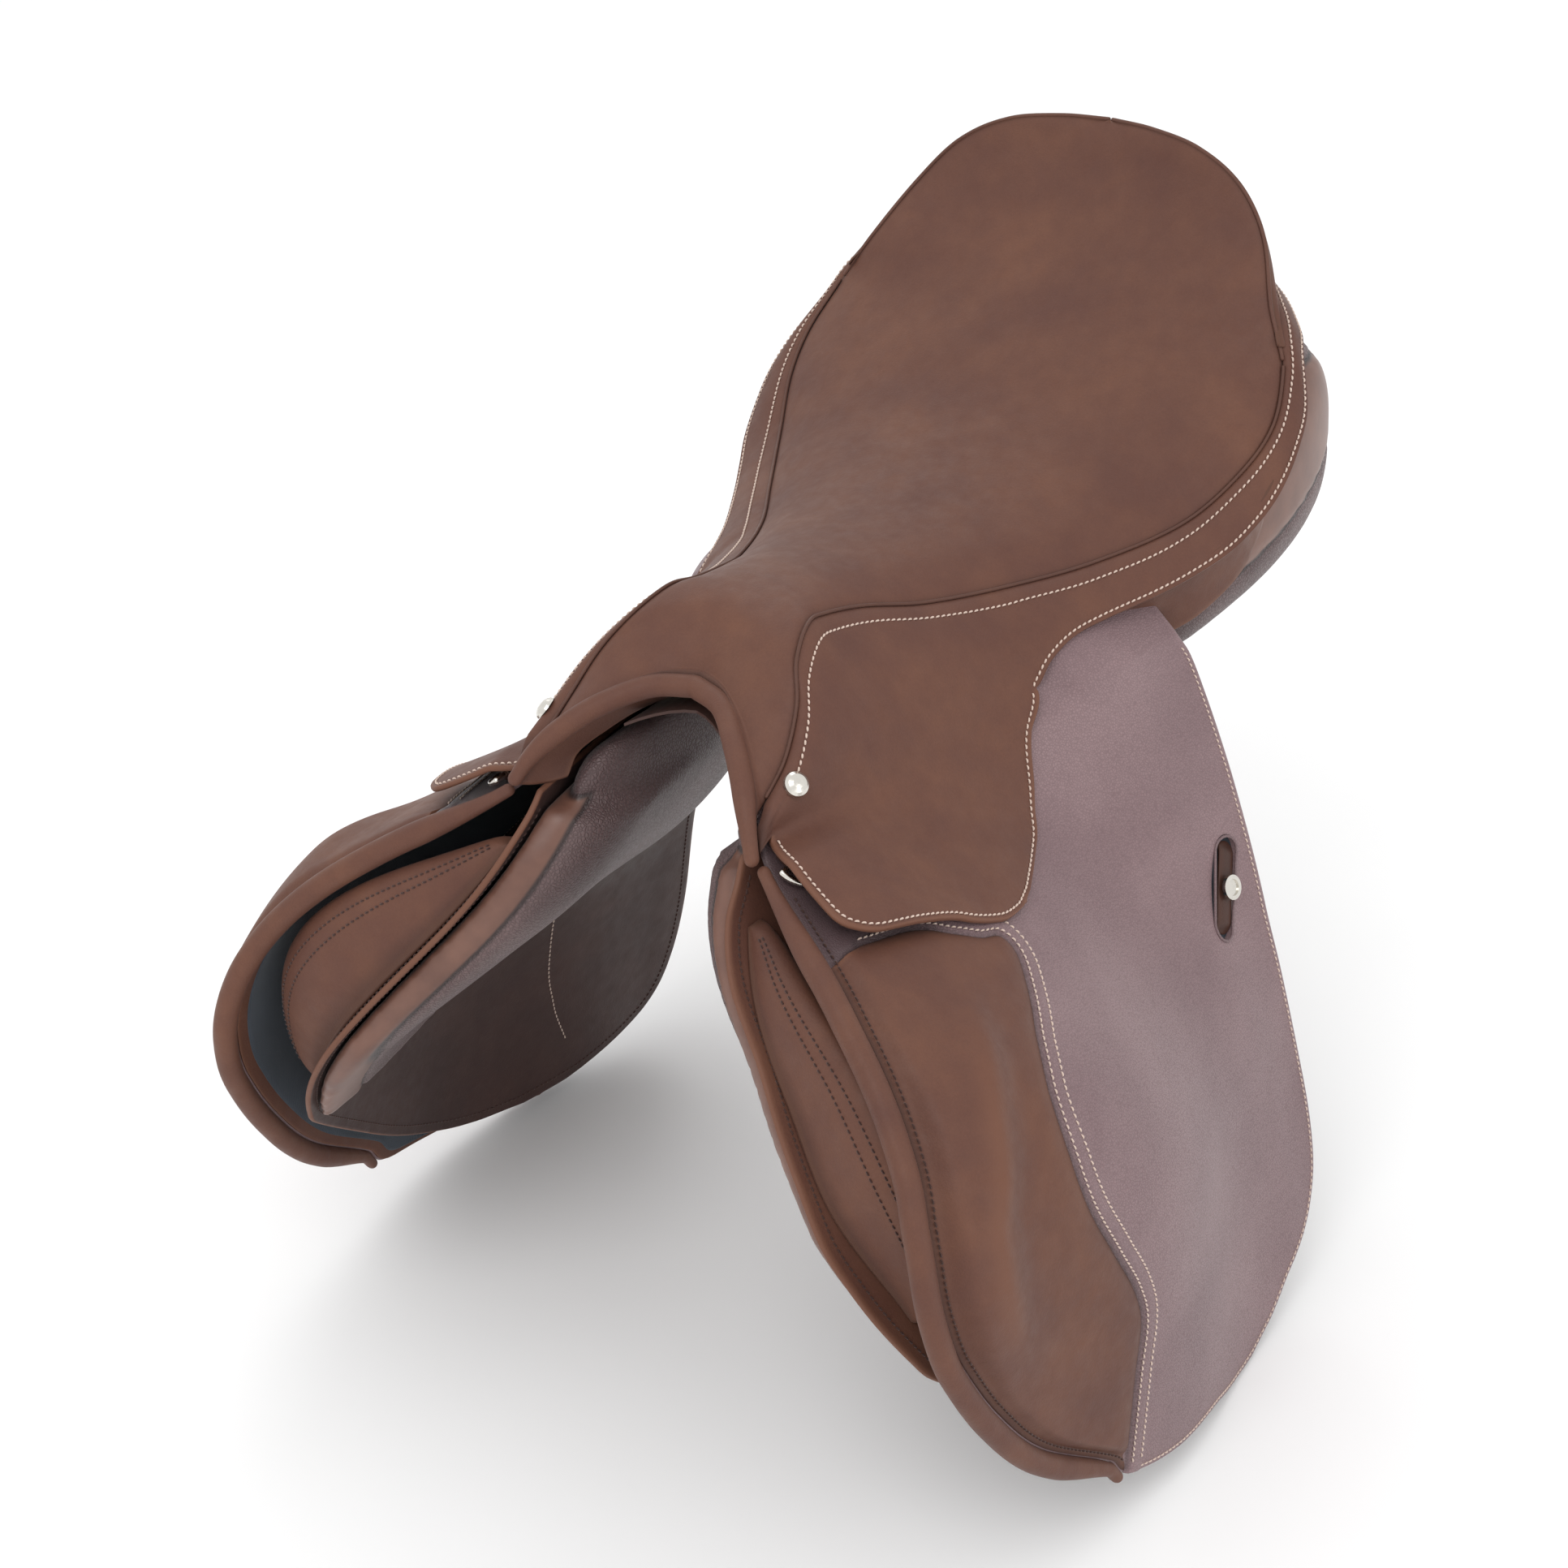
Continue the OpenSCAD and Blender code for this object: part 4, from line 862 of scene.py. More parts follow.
def flap(side):
    columns = 190
    up = np.linspace(-1, 0, 12)[:-1]
    down = np.concatenate([np.linspace(0, 40, 34)[:-1], np.linspace(40, 300, 170)[:-1],
                           np.linspace(300, 333.6, 40)])
    share = np.linspace(0, 1, columns)
    y_up = mix(-188.0, 61.3, share)
    t_up = up[:, None] * (7 + 11 * ease(-45, 5, y_up))[None]
    y = np.concatenate([np.broadcast_to(y_up, (len(up), columns)),
                        mix(curve(FLAP_FRONT, down)[:, None], curve(FLAP_REAR, down)[:, None], share[None])])
    t = np.concatenate([t_up, np.broadcast_to(down[:, None], (len(down), columns))])
    base = flap_point(y, t)
    # tucked in where the corner of the skirt and the strip lies over it
    base[..., 0] -= 8 * ease(-85, -40, y) * ease(2, -14, y) * ease(15, 0, t)
    normal = outward(flap_point, y, t)
    line = side_row(pad_edge(300), flap_point, 0)[0]
    pad_d = path_distance(base, line)
    inside = (y < curve(PAD_REAR, t)) & (t > 33)
    rows = [offset_row(pad_edge(300), -k) for k in (2.6, 9.4)]
    groove = sum(0.35 * np.exp(-(path_distance(base, side_row(r, flap_point, 0)[0]) / 1.2) ** 2) for r in rows)
    band = 0.8 * np.exp(-((pad_d - 6.0) / 4.6) ** 4) * ~inside
    lip = -1.4 * np.exp(-(pad_d / 1.3) ** 2)
    lift = np.where(inside, -1.2, band - groove + lip)
    # painted shade in the crease round the knee pad, and a painted shadow on the flap under the skirt's front,
    # where the skirt stands off it
    skirt_shadow = ease(-128, -158, y) * ease(47, 36, t)
    shade = 0.75 * np.exp(-(pad_d / 1.5) ** 2) + 0.85 * skirt_shadow
    o = leather(f"flap_leather_{side}", base + normal * lift[..., None], base - normal * FLAP_T, side, GRAIN,
                0.45, np.clip(shade, 0, 1))
    bore(o, slot_cutter(side))
    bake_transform(o)
    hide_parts(f"flap_{side}", f"flap_head_{side}")
    # two rows of pale thread outside the pad
    for k, row in enumerate(rows):
        p, n = side_row(row, flap_point, 0.75 if k == 0 else 0.5)
        place(stitches(f"pad_border_stitches_{side}_{k}", p, n, side, THREAD, radius=0.46), body(side, "flap"))
    # one row close to the free edge: down the rear and forward along the bottom
    edge = np.concatenate([outline(FLAP_REAR, 4, 333, 300), outline(FLAP_FRONT, 304, 333.4, 120)[::-1]])
    q, n = side_row(offset_row(along(edge, spacing=2.0), 2.2), flap_point, 0.1)
    sew("flap_edge_stitches", side, q, n, THREAD, 0.42, body(side, "flap"))
    # a smooth border behind the front edge, and the lining inside it
    down = np.linspace(14, 330, 150)
    front_line, rear_line = curve(FLAP_FRONT, down), curve(FLAP_REAR, down)
    for name, k, material, fore, aft, deep in (
            ("border", 10, NUBUCK, front_line + 0.6, front_line + 10.5, 0.9),
            ("lining_cloth", 90, LINING, front_line + 8.5, rear_line - 5.0, LINING_T)):
        y, t, _, _ = patch(flap_point, fore, aft, down, np.linspace(0, 1, k))
        back, face = on(flap_point, y, t, -FLAP_T - 0.1), on(flap_point, y, t, -FLAP_T - 0.2 - deep)
        tone = np.zeros(y.shape)
        # painted shade in the lining round the keeper slot, where the recess lies in shadow
        if name == "lining_cloth":
            x, z = slot_local(back)
            reach = np.hypot(x, np.maximum(np.abs(z) - SLOT_HALF, 0))
            tone = np.clip(1.1 * np.exp(-(np.maximum(reach - 4, 0) / 6) ** 2), 0, 1)
        o = leather(f"flap_{name}_{side}", back, face, side, material, 0.3, tone)
        place(o, body(side, "flap"), [f"flap_lining_{side}"] if name == "lining_cloth" else [])


SLOT_Y, SLOT_T, SLOT_R, SLOT_HALF = 41.0, 120.0, 8.0, 18.0


def slot_frame():
    """Place of the keeper slot and its axes as rows: out of the flap, across the slot, along the slot."""
    x = outward(flap_point, np.array(SLOT_Y), np.array(SLOT_T))
    lean = flap_point(SLOT_Y + 14, SLOT_T - 21) - flap_point(SLOT_Y - 14, SLOT_T + 21)
    y = unit(np.cross(lean, x))
    return flap_point(SLOT_Y, SLOT_T), np.stack([x, y, np.cross(x, y)])


def slot_local(points):
    """Distances of points across and along the slot."""
    origin, axes = slot_frame()
    return (points - origin) @ axes[1], (points - origin) @ axes[2]


def slot_loop(grow=0.0, n=17):
    a = np.linspace(0, np.pi, n)
    c, s = (SLOT_R + grow) * np.cos(a), (SLOT_R + grow) * np.sin(a)
    return np.concatenate([np.stack([c, SLOT_HALF + s], -1), np.stack([-c, -SLOT_HALF - s], -1)])


def slot_cutter(side):
    origin, axes = slot_frame()
    loop = slot_loop()
    points = [[x, p[0], p[1]] for x in (-22, 22) for p in loop]
    return make(f"cutter_{side}", origin + np.array(points) @ axes, tube_faces(2, len(loop)), side, NICKEL)


def bake(obj):
    """The object's mesh with its modifiers applied and its first material kept."""
    material = obj.data.materials[0]
    bpy.context.view_layer.update()
    done = bpy.data.meshes.new_from_object(obj.evaluated_get(bpy.context.evaluated_depsgraph_get()))
    obj.modifiers.clear()
    obj.data = done
    done.materials.clear()
    done.materials.append(material)
    done.polygons.foreach_set("use_smooth", [True] * len(done.polygons))
    return done


def bore(obj, cutter):
    """Cut a hole through an object and remove the cutter."""
    mod = obj.modifiers.new("cut", "BOOLEAN")
    mod.object, mod.operation, mod.solver = cutter, "DIFFERENCE", "EXACT"
    bake(obj).set_sharp_from_angle(angle=math.radians(50))
    bpy.data.objects.remove(cutter)


def keeper(side):
    origin, axes = slot_frame()
    z, w = np.meshgrid(np.linspace(-1, 1, 60), np.linspace(-1, 1, 9), indexing="ij")
    # the strap dives behind the flap at both ends
    dive = -1.6 * ease(0.74, 1.0, np.abs(z))
    width = 4.5 * np.sqrt(np.clip(1 - (np.maximum(np.abs(z) - 0.88, 0) / 0.14) ** 2, 0.15, 1))
    local = np.stack([0.9 + dive - 0.3 * w**2, 2.5 + w * width, z * 22.5], -1)
    back = local - [1.7, 0, 0]
    o = leather(f"keeper_strap_leather_{side}", origin + local @ axes, origin + back @ axes, side, STRAP, 0.5)
    place(o, body(side, "flap"), [f"keeper_strap_{side}"])
    # a bound edge inside the slot, darkened with painted shade
    loop = slot_loop(-0.3, 40)
    at = origin + np.concatenate([0 * loop[:, :1], loop], 1) @ axes
    ring = on(flap_point, at[:, 1], top_line(at[:, 1])[:, 2] - at[:, 2], 0.15)
    ring = along(np.concatenate([ring, ring[:1]]), count=160)
    o = tube(f"slot_binding_{side}", ring, 0.75, side, GRAIN, 8, 0.35, caps=False)
    place(o, body(side, "flap"))


# ---------------------------------------------------------------- knee pad and roll

RIDGE = [(52.6, -188), (61, -191), (65, -194), (83, -213), (107, -230), (124, -242), (160, -244), (200, -232)]


def knee_pad(side):
    rows, columns = 200, 90
    t = np.concatenate([np.linspace(34, 66, 60)[:-1], np.linspace(66, 303, rows - 59)])
    y, tt, base, normal = patch(flap_point, curve(FLAP_FRONT, t) + 0.5, curve(PAD_REAR, t) - 0.8, t,
                                np.linspace(0, 1, columns))
    d_rear = path_distance(base, side_row(pad_edge(300, 0.8), flap_point, 0)[0])
    d_front = np.linalg.norm(base - base[:, :1], axis=-1)
    pillow = 4.4 * (1 - np.exp(-(d_rear / 6.0) ** 1.2)) * ease(0, 12, d_front)
    side_of = y - curve(RIDGE, tt)
    bulge = 9.0 * np.where(side_of > 0, np.exp(-(side_of / 15) ** 2), np.exp(-(side_of / 34) ** 2))
    bulge *= ease(46, 80, tt) * ease(215, 140, tt)
    height = -1.0 + pillow + bulge * ease(2, 18, d_rear) * ease(1, 14, d_front)
    height -= 1.2 * np.exp(-((d_front - 7) / 4) ** 2) * ease(1, 6, d_front)
    # painted shade in the creases along the pad's rear edge and beside the roll
    shade = 0.85 * np.exp(-(d_rear / 1.9) ** 2) + 0.5 * np.exp(-(d_front / 2.0) ** 2)
    # a painted highlight along the ridge of the bulge, where it faces the light
    o = leather(f"knee_pad_leather_{side}", base + normal * height[..., None], base - normal * 1.6, side,
                NUBUCK, 0.3, np.clip(shade, 0, 1), joined="left right bottom",
                painted_highlight_distance=0.4 + 2.2 * (1 - np.exp(-(side_of / 9) ** 2) * ease(50, 90, tt) * ease(215, 140, tt)))
    place(o, body(side, "flap"), [f"knee_pad_{side}"])
    # dark thread down the front, beside the roll
    q, n = side_row(offset_row(outline(FLAP_FRONT, 16, 298, 300), -3.4), flap_point, 0.0)
    lift = np.interp(np.arange(300), [0, 30, 300], [0.2, 0.8, 0.8])
    q = q + n * lift[:, None]
    sew("roll_stitches", side, q, n, DARK_THREAD, 0.5, body(side, "flap"))


def front_roll(side):
    t = np.linspace(9, 301, 170)
    radius = mix(3.0, 5.9, ease(9, 34, t)) - 2.9 * ease(262, 302, t)
    edge = np.stack([curve(FLAP_FRONT, t), t], -1)
    path = side_row(np.array([offset_row(edge, r + 0.4)[k] for k, r in enumerate(radius)]), flap_point, -0.9)[0]
    o = tube(f"flap_roll_leather_{side}", path, radius, side, NUBUCK, 22, 0.0, up=(1, 0, 0.4))
    place(o, body(side, "flap"), [f"flap_roll_{side}"])


# ---------------------------------------------------------------- sweat flap and blocks

SWEAT_SEAM = [(196, -54), (220, -53), (240, -52), (256, -49), (270, -46), (294, -38)]


def sweat_flap(side):
    down = np.concatenate([np.linspace(8, 300, 150)[:-1], np.linspace(300, 319.8, 20)])
    _, _, base, normal = patch(sweat_point, curve(SWEAT_FORE, down), curve(SWEAT_AFT, down), down,
                               np.linspace(0, 1, 150))
    edge = np.concatenate([outline(SWEAT_FORE, 12, 319, 200), outline(SWEAT_AFT, 12, 319, 200)[::-1]])
    row = offset_row(along(edge, spacing=2.0), -5.0, sweat_point)
    inner_row = along(outline(SWEAT_SEAM, 196, 294, 60), spacing=2.0)
    groove = 0.35 * np.exp(-(path_distance(base, side_row(row, sweat_point, 0)[0]) / 1.3) ** 2)
    o = leather(f"sweat_flap_leather_{side}", base - normal * groove[..., None], base - normal * SWEAT_T, side,
                NUBUCK, 0.45, back=SWEAT)
    place(o, "saddle", [f"sweat_flap_{side}"])
    p, n = side_row(row, sweat_point, 0.0)
    sew("sweat_edge_stitches", side, p, n, DARK_THREAD, 0.45, "saddle")
    for k, (line, colour) in enumerate(((row, DARK_THREAD), (inner_row, THREAD))):
        p, n = side_row(line, sweat_point, -SWEAT_T)
        place(stitches(f"sweat_inner_stitches_{side}_{k}", p, -n, side, colour, radius=0.4), "saddle")


def block(side, name, drops, fore, aft, rise, blunt=0.35):
    """A firm pad on the sweat flap that grows until it nearly meets the flap above it."""
    t = np.linspace(drops[0], drops[1], 120)
    share = np.linspace(0, 1, 56)
    y, _, base, normal = patch(sweat_point, curve(fore, t), curve(aft, t), t, share)
    low, high = np.zeros(y.shape), np.full(y.shape, float(rise))
    for _ in range(9):
        half = (low + high) / 2
        p = base + normal * half[..., None]
        drop = top_line(p[..., 1])[..., 2] - p[..., 2]
        n = outward(flap_point, p[..., 1], drop)
        free = (flap_point(p[..., 1], drop)[..., 0] - p[..., 0]) * np.abs(n[..., 0]) > 10.3
        low, high = np.where(free, half, low), np.where(free, high, half)
    crown = np.clip(4 * share * (1 - share), 0, 1) ** 0.35
    q = np.linspace(0, 1, len(t))
    ends = blunt + (1 - blunt) * np.clip(4 * q * (1 - q), 0, 1) ** 0.4
    height = (2 + np.maximum(1, (low - 2) * crown[None])) * ends[:, None]
    for _ in range(3):
        height[1:-1, 1:-1] = (height[:-2, 1:-1] + height[2:, 1:-1] + height[1:-1, :-2] + height[1:-1, 2:]) / 4
    outer = base + normal * height[..., None]
    d = edge_distance(outer)
    # painted shade round the block's edges, where it meets the sweat flap
    o = leather(f"{name}_leather_{side}", outer, base + normal * 0.6, side, NUBUCK, 0.3,
                0.5 * np.exp(-(d / 1.5) ** 2))
    place(o, "saddle", [f"{name}_{side}"])
    return outer, grid_normals(outer)


def blocks(side):
    fore = [(30, -206), (60, -228), (90, -243), (130, -258), (180, -250)]
    aft = [(30, -200), (45, -202), (70, -210), (100, -219), (140, -226), (180, -234)]
    outer, normal = block(side, "knee_block", (34, 178), fore, aft, 60, 0.2)
    for k, col in enumerate((6, 11)):
        row = stitches(f"knee_block_stitches_{side}_{k}", outer[3:-3, col], normal[3:-3, col], side,
                       DARK_THREAD, radius=0.5)
        place(row, "saddle")
    block(side, "thigh_block", (170, 262), [(170, 7), (262, 2)], [(170, 33), (262, 24)], 11)


# ---------------------------------------------------------------- panels

PANEL = [(-188, (43, 53, 8, 2, 34, 30)), (-175, (38, 56, 2, -8, 46, 36)), (-140, (34, 61, 4, -10, 52, 34)),
         (-90, (32, 65, 10, -6, 50, 34)), (-30, (32, 73, 14, 0, 44, 34)), (30, (32, 83, 16, 2, 44, 36)),
         (62, (32, 92, 18, 3, 48, 42)), (90, (32, 110, 20, 4, 56, 50)), (150, (34, 120, 26, 6, 84, 78)),
         (200, (36, 122, 30, 8, 112, 112)), (245, (38, 116, 36, 14, 128, 124)),
         (275, (42, 104, 44, 26, 112, 104)), (294, (54, 88, 58, 46, 88, 78))]
REACH = [(0, 200), (0.1, 206), (0.34, 208), (0.49, 203), (0.62, 186), (0.8, 160), (0.92, 146), (1, 138)]


def low_pad(s, q, inside):
    """The part of the panel that reaches down behind the sweat flap: its outer face, or its inner one."""
    t = 14 + (curve(REACH, s) - 14) * q
    y = mix(curve(SWEAT_FORE, t) + 3, 40, s)
    rounding = np.sqrt(np.maximum(0, 1 - (1 - np.minimum(1, s / 0.18)) ** 2))
    rounding = rounding * np.sqrt(np.minimum(1, (1 - s) / 0.12))
    full = 5 + 30 * (1 - q**1.4) * (0.25 + 0.75 * rounding)
    return on(sweat_point, y, t, -SWEAT_T - 1.6 - inside * full)


def panel(side):
    n, sides = 110, 64
    y = np.linspace(-186, 292, n)
    p = curve(PANEL, y)
    end = np.sqrt(np.clip(1 - np.maximum(0, np.abs((y - 53) / 239) - 0.9) ** 2 / 0.0102, 0.02, 1))
    a = 2 * np.pi * np.arange(sides) / sides
    c, s = np.sign(np.cos(a)) * np.abs(np.cos(a)) ** 0.62, np.sign(np.sin(a)) * np.abs(np.sin(a)) ** 0.62
    mx, rx = (p[:, 0] + p[:, 1]) / 2, (p[:, 1] - p[:, 0]) / 2 * end
    w = (c[None] + 1) / 2
    low, high = mix(p[:, 2, None], p[:, 3, None], w), mix(p[:, 4, None], p[:, 5, None], w)
    rings = np.stack([mx[:, None] + rx[:, None] * c[None], np.broadcast_to(y[:, None], (n, sides)),
                      (low + high) / 2 + (high - low) / 2 * s[None] * end[:, None]], -1)
    cushion = make("panel_roll", rings.reshape(-1, 3), tube_faces(n, sides), side, PANEL_SKIN)
    across = np.concatenate([np.linspace(0, 0.2, 16)[:-1], np.linspace(0.2, 0.88, 34)[:-1],
                             np.linspace(0.88, 1, 12)])
    ss, qq = np.meshgrid(across, np.linspace(0, 1, 60), indexing="ij")
    slab = leather("panel_low", low_pad(ss, qq, 0), low_pad(ss, qq, 1), side, PANEL_SKIN, 0.05, steps=1)
    whole = join(f"panel_leather_{side}", [slab, cushion])
    mod = whole.modifiers.new("one_skin", "REMESH")
    mod.mode, mod.voxel_size = "VOXEL", 3.2 * MM
    soft = whole.modifiers.new("soft", "SMOOTH")
    soft.factor, soft.iterations = 0.5, 8
    done = bake(whole)
    co, normals = (np.empty(len(done.vertices) * 3, np.float32) for _ in range(2))
    done.vertices.foreach_get("co", co)
    done.vertices.foreach_get("normal", normals)
    co, normals = co.reshape(-1, 3) / MM, normals.reshape(-1, 3)
    here = np.stack([np.abs(co[:, 0]), co[:, 1], co[:, 2]], -1)
    # smooth leather faces the front, to 20 mm in from the sweat flap; and the outer wall behind the seat
    drop = top_line(here[:, 1])[:, 2] - here[:, 2]
    depth = sweat_point(here[:, 1], drop)[:, 0] - here[:, 0]
    depth = depth * np.abs(outward(sweat_point, here[:, 1], drop)[:, 0])
    smooth = np.minimum.reduce([20 - depth, curve(SWEAT_FORE, drop) + 34 - here[:, 1], drop - 14])
    wall = np.interp(here[:, 1], [30, 90, 150, 200, 245, 290], [20, 24, 34, 42, 52, 66]) + 2
    outer_edge = [(y_at, sizes[1]) for y_at, sizes in PANEL if y_at >= 30]
    out_x = np.interp(here[:, 1], *zip(*outer_edge)) - 9
    side_d = np.minimum(here[:, 2] - wall, np.maximum(here[:, 0] - out_x, here[:, 1] - 262))
    smooth = np.where(here[:, 1] > 20, side_d, smooth)
    co2 = co - normals * (1.5 * np.exp(-(smooth / 2.2) ** 2))[:, None]
    done.vertices.foreach_set("co", (co2 * MM).astype(np.float32).reshape(-1))
    for key, values in (("edge", np.full(len(co), 20.0)), ("facing", np.clip(0.5 + smooth / 16, 0, 1))):
        done.attributes.new(key, "FLOAT", "POINT").data.foreach_set("value", values.astype(np.float32))
    done.update()
    place(whole, "saddle", [f"panel_{side}"])


# ---------------------------------------------------------------- arch roll, facings, billets

def both_sides(half):
    """A near-side path from its end to the centre line, then its mirror image on the off side."""
    return np.concatenate([half, (half * [-1, 1, 1])[-2::-1]])


def arch_roll():
    path = along(both_sides(curve(ARCH, np.linspace(0, 5, 60))), spacing=2.5)
    radii = mix(3.4, 5.3, ease(67, 52, np.abs(path[:, 0])))
    o = tube("arch_roll_leather", path, radii, "near", NUBUCK, 22, 0.0, up=(0, 1, 0.3))
    place(o, "saddle", ["arch_roll"])
    # the facing inside the arch, from the roll back and down to the gullet
    inner_end = [(0, (52, -182, 34)), (1, (50, -175, 44)), (2, (42, -164, 52)), (3, (31, -150, 60)),
                 (4, (16, -138, 66)), (5, (0, -132, 68))]
    k = np.linspace(0, 5, 50)
    a, b = curve(ARCH, k) + [0, 2.0, -2.0], curve(inner_end, k)
    a, b = both_sides(a), both_sides(b)
    s = np.linspace(0, 1, 16)
    p = mix(a[:, None], b[:, None], s[None, :, None]) - np.array([0, 0, 1.6]) * np.sin(np.pi * s)[None, :, None]
    # painted shade: deepest right under the roll, and growing again towards the gullet
    tone = np.broadcast_to(0.75 * np.exp(-(s / 0.12) ** 2) + 0.35 * s, p.shape[:2])
    o = leather("arch_facing", p, p + [0, 1.2, 1.6], "near", NUBUCK, 0.3, tone)
    place(o, "saddle")


def cantle_facing(side):
    rows = np.linspace(79, 100, 80)
    s = np.linspace(0, 1, 26)
    e, b = curve(SEAM_LINE, rows), curve(STRIP_SEAM, rows)
    d = unit(np.stack([b[:, 0], b[:, 1] - 60, 0 * rows], -1))
    p = mix((e + [0, 0, -2.2])[:, None], (b + [0, 0, 1.0])[:, None], s[None, :, None])
    p = p + d[:, None] * (1.6 * (1 - s) + 2.0 * np.sin(np.pi * s))[None, :, None]
    # painted shade along the facing's edges
    o = leather(f"cantle_facing_leather_{side}", p, p - d[:, None] * 2.0, side, NUBUCK, 0.3,
                0.4 * np.exp(-(edge_distance(p) / 2) ** 2), joined="bottom")
    place(o, "saddle", ["cantle_facing"] if side == "near" else [])
    edge = curve(SEAM_LINE, np.linspace(78, 100, 90))
    path = edge + unit(edge * [1, 1, 0] - [0, 60, 0]) * 0.4 - [0, 0, 1.5]
    o = tube(f"cantle_piping_{side}", along(path, spacing=2.0), 1.0, side, WELT, 10, 0.0)
    place(o, "saddle")


def rear_gusset(side):
    """The leather wall that joins the rear of the seat to the top of the panel and closes its underside."""
    v, s = np.linspace(52, 100, 90), np.linspace(0, 1, 12)
    top = curve(STRIP_EDGE, v)
    inward = unit(np.stack([-top[:, 0], 20 - top[:, 1], 0 * v], -1))
    panel_top = curve(PANEL, np.minimum(top[:, 1] - 10, 245))[:, 5]
    low = top + inward * 20
    low[:, 2] = np.minimum(panel_top - 6, top[:, 2] - 4)
    high = top + inward * 5 + np.array([0, 0, 1.5])
    bow = inward[:, None] * 3 * np.sin(np.pi * s)[None, :, None]
    p = mix(high[:, None], low[:, None], s[None, :, None]) + bow
    # painted shade along the top, under the strip's edge
    tone = np.broadcast_to(0.45 * np.exp(-(s / 0.25) ** 2), p.shape[:2])
    o = leather(f"rear_gusset_{side}", p, p + inward[:, None] * 2.0, side, NUBUCK, 0.3, tone, joined="bottom")
    place(o, "saddle")


BILLETS = {"front": -98.0, "middle": -56.0, "rear": -14.0}
BILLET_HALF, HOLES, HOLE_R, FIRST_HOLE, HOLE_PITCH = 12.5, 5, 2.75, 160, 25


def billet(side, which):
    y0 = BILLETS[which]
    t = np.linspace(14, 284, 150)
    a, b = sweat_point(y0 + 0 * t, t), on(flap_point, y0 + 0 * t, t, -FLAP_T - LINING_T)
    mid = np.stack([(a[:, 0] + b[:, 0]) / 2, y0 + 0 * t, mix(a[:, 2], b[:, 2], 0.3)], -1)
    along_strap = np.gradient(mid, axis=0)
    out = unit(np.stack([-along_strap[:, 2], 0 * t, along_strap[:, 0]], -1))
    half = BILLET_HALF * np.sqrt(np.minimum(1, (289 - t) / 26))
    w = np.linspace(-1, 1, 25)
    p = mid[:, None] + np.array([0, 1.0, 0]) * (half[:, None] * w[None])[..., None]
    thick = out[:, None] * (1.55 - 0.25 * w**4)[None, :, None]
    o = leather(f"billet_strap_{side}_{which}", p + thick, p - thick, side, STRAP, 0.4)
    a = 2 * np.pi * np.arange(24) / 24
    for i in range(HOLES):
        k = int(np.argmin(np.abs(t - (FIRST_HOLE + HOLE_PITCH * i))))
        turn = np.array(Vector(out[k]).to_track_quat("Z", "Y").to_matrix())
        points = [mid[k] + turn @ np.array([HOLE_R * math.cos(x), HOLE_R * math.sin(x), z])
                  for z in (-7, 7) for x in a]
        bore(o, make("cutter", points, tube_faces(2, len(a)), side, STRAP))
    place(o, body(side, f"{which}_billet"), [f"billet_{side}_{which}"])
    k = slice(6, 138)
    for letter, sign in (("a", -1), ("b", 1)):
        path = mid[k] + np.array([0, 1.0, 0]) * (half[k] - 2.6)[:, None] * sign + out[k] * 1.45
        row = stitches(f"billet_stitches_{side}_{which}_{letter}", path, out[k], side, THREAD, radius=0.38)
        place(row, body(side, f"{which}_billet"))


# ---------------------------------------------------------------- build

seat()
for side in SIDES:
    build_strip_and_skirt(side)
    flap(side)
    keeper(side)
    knee_pad(side)
    front_roll(side)
    sweat_flap(side)
    blocks(side)
    panel(side)
    cantle_facing(side)
    rear_gusset(side)
    for which in BILLETS:
        billet(side, which)
arch_roll()

KEPT = {"tree_frame": WOOD, "head_plate": STEEL, "gullet_plate": STEEL, "tree_spring_near": STEEL,
        "tree_spring_off": STEEL, "seat_webbing": WEB, "gullet_lining": SWEAT, "head_nails": NICKEL,
        "bar_rivets": NICKEL, "catch_pins": NICKEL}
for side in SIDES:
    for node in ("stirrup_bar", "bar_catch", "front_dee", "keeper_snap"):
        KEPT[f"{node}_{side}"] = NICKEL
    KEPT[f"dee_chape_{side}"] = STRAP
for node, material in KEPT.items():
    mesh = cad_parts[node].data
    mesh.materials.clear()
    mesh.materials.append(material)


# ---------------------------------------------------------------- floor, light, camera

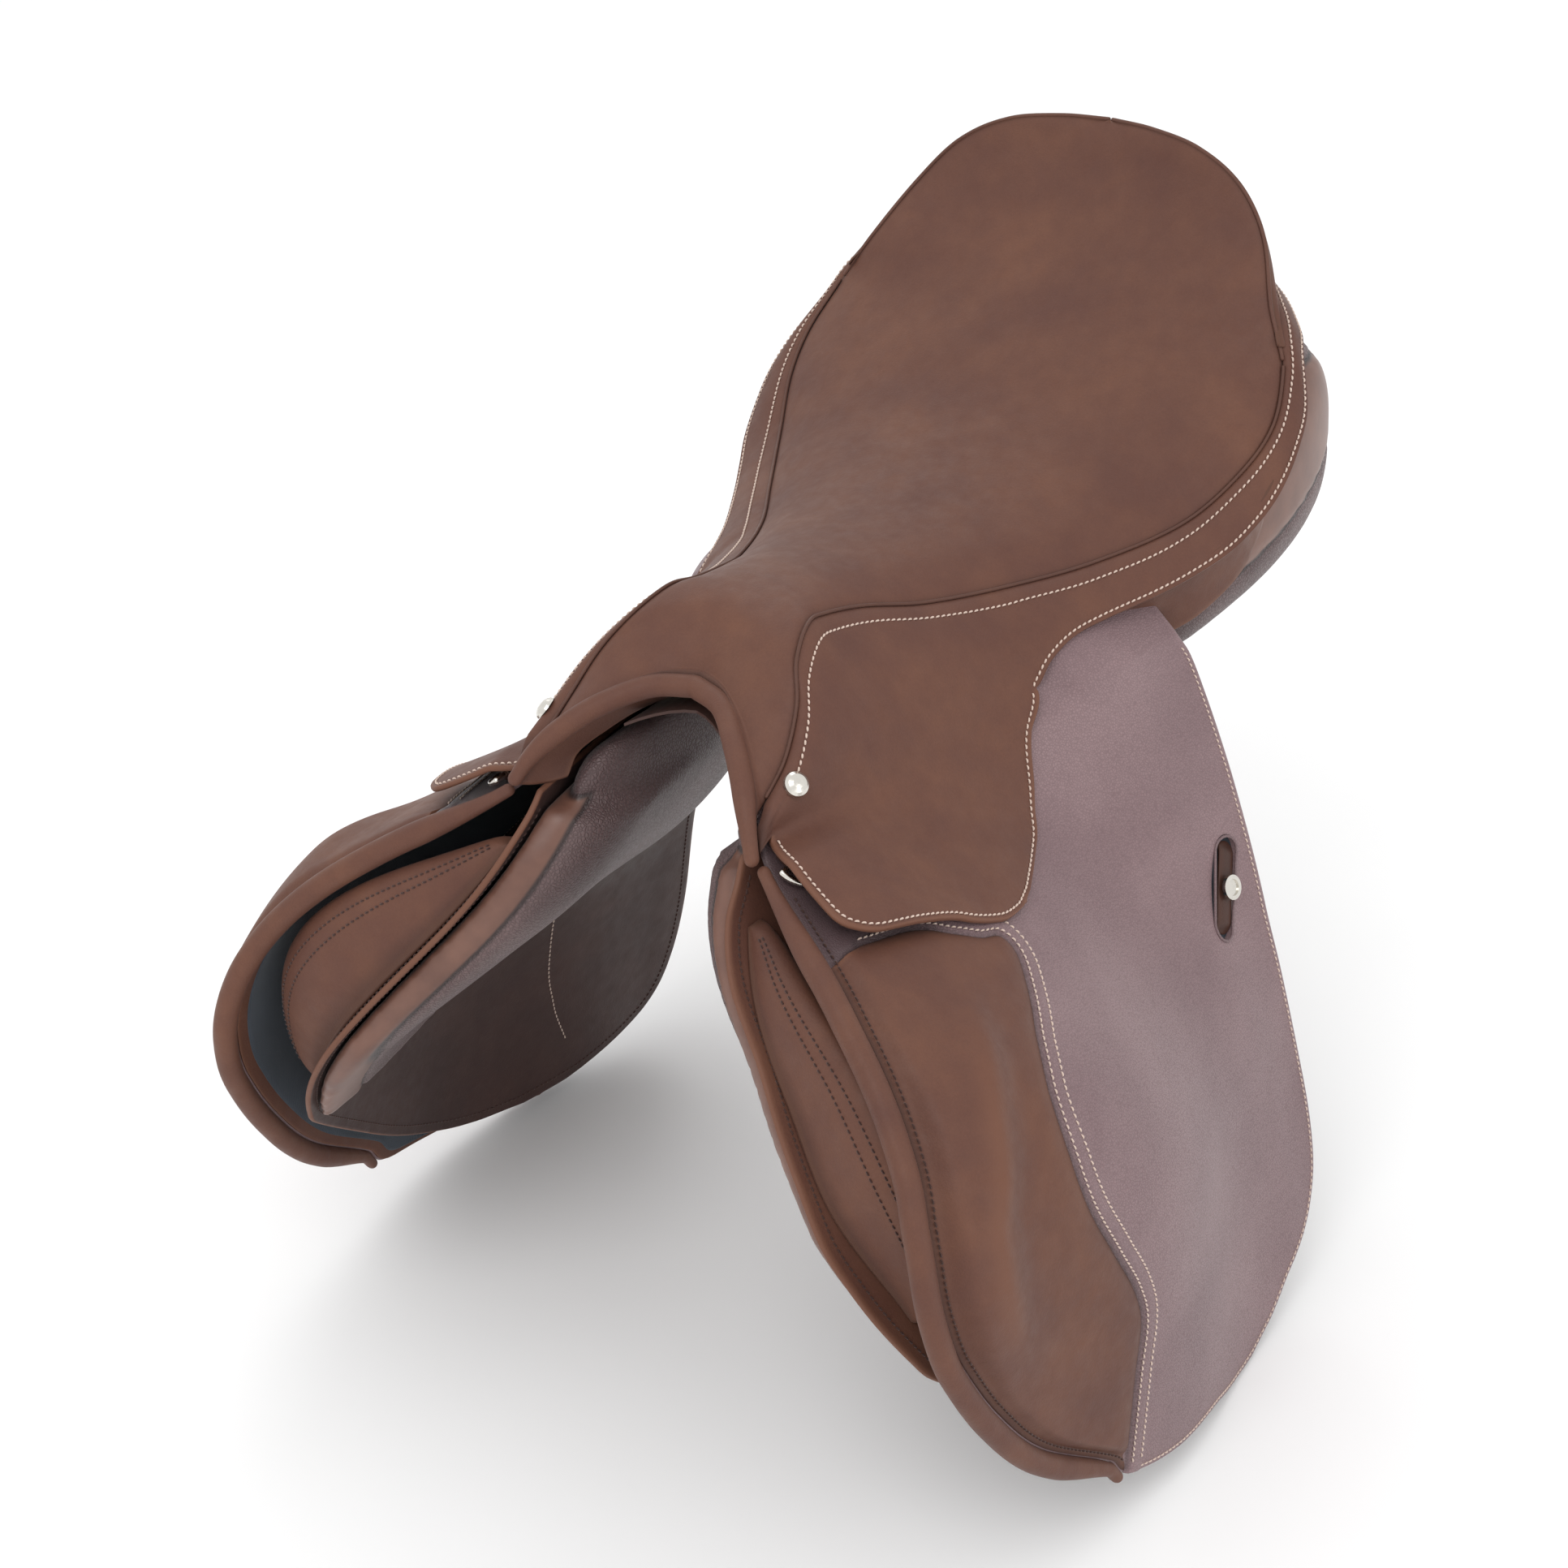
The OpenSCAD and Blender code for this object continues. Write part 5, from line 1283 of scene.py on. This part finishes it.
FLOOR_SIZE, FLOOR_GAP = 14.0, 0.004
bpy.ops.mesh.primitive_plane_add(size=FLOOR_SIZE, location=(0, 0, cad_box[0][2] - FLOOR_GAP))
floor = bpy.context.object
floor.name = "studio_floor"
paper = Nodes("studio_paper")
fibres = paper.span(paper.noise(3, 2, 0.5), 0.3, 0.7)
paper.finish(Base_Color=paper.blend(fibres, rgb(250, 250, 250), rgb(246, 246, 246)), Roughness=0.9)
floor.data.materials.append(paper.material)

world = bpy.data.worlds.new("studio")
world.use_nodes = True
sky = world.node_tree.nodes["Background"]
sky.inputs["Color"].default_value = (1.0, 1.0, 1.0, 1.0)
sky.inputs["Strength"].default_value = 1.0
bpy.context.scene.world = world


def softbox(name, place_at, look_at, size, power):
    data = bpy.data.lights.new(name, "AREA")
    data.shape, data.size, data.energy = "DISK", size, power
    lamp = bpy.data.objects.new(name, data)
    lamp.location = place_at
    lamp.rotation_euler = (Vector(look_at) - Vector(place_at)).to_track_quat("-Z", "Y").to_euler()
    bpy.context.scene.collection.objects.link(lamp)


softbox("key", (0.5, -1.7, 2.2), (0.05, -0.05, 0.0), 1.6, 20)
softbox("fill", (2.4, -0.5, 0.8), (0.1, 0.0, 0.0), 1.8, 7)
softbox("back", (-1.2, 1.4, 1.8), (0.0, 0.0, 0.1), 1.4, 7)

DISTANCE, SHIFT_X, SHIFT_Y, LENS = 1.496, -0.0493, -0.040, 69.24
azimuth, elevation, roll = math.radians(36.9), math.radians(29.9), math.radians(-3.6)
level_reach = math.cos(elevation)
back = Vector((math.sin(azimuth) * level_reach, -math.cos(azimuth) * level_reach, math.sin(elevation)))
right = Vector((math.cos(azimuth), math.sin(azimuth), 0))
level_up = right.cross(-back)
x_axis = right * math.cos(roll) + level_up * math.sin(roll)
y_axis = level_up * math.cos(roll) - right * math.sin(roll)
data = bpy.data.cameras.new("view")
data.sensor_width, data.lens = 36.0, LENS
camera = bpy.data.objects.new("view", data)
camera.matrix_world = Matrix((x_axis, y_axis, back)).transposed().to_4x4()
camera.location = back * DISTANCE + x_axis * SHIFT_X + y_axis * SHIFT_Y
bpy.context.scene.collection.objects.link(camera)
bpy.context.scene.camera = camera
bpy.context.scene.view_settings.view_transform = "Standard"
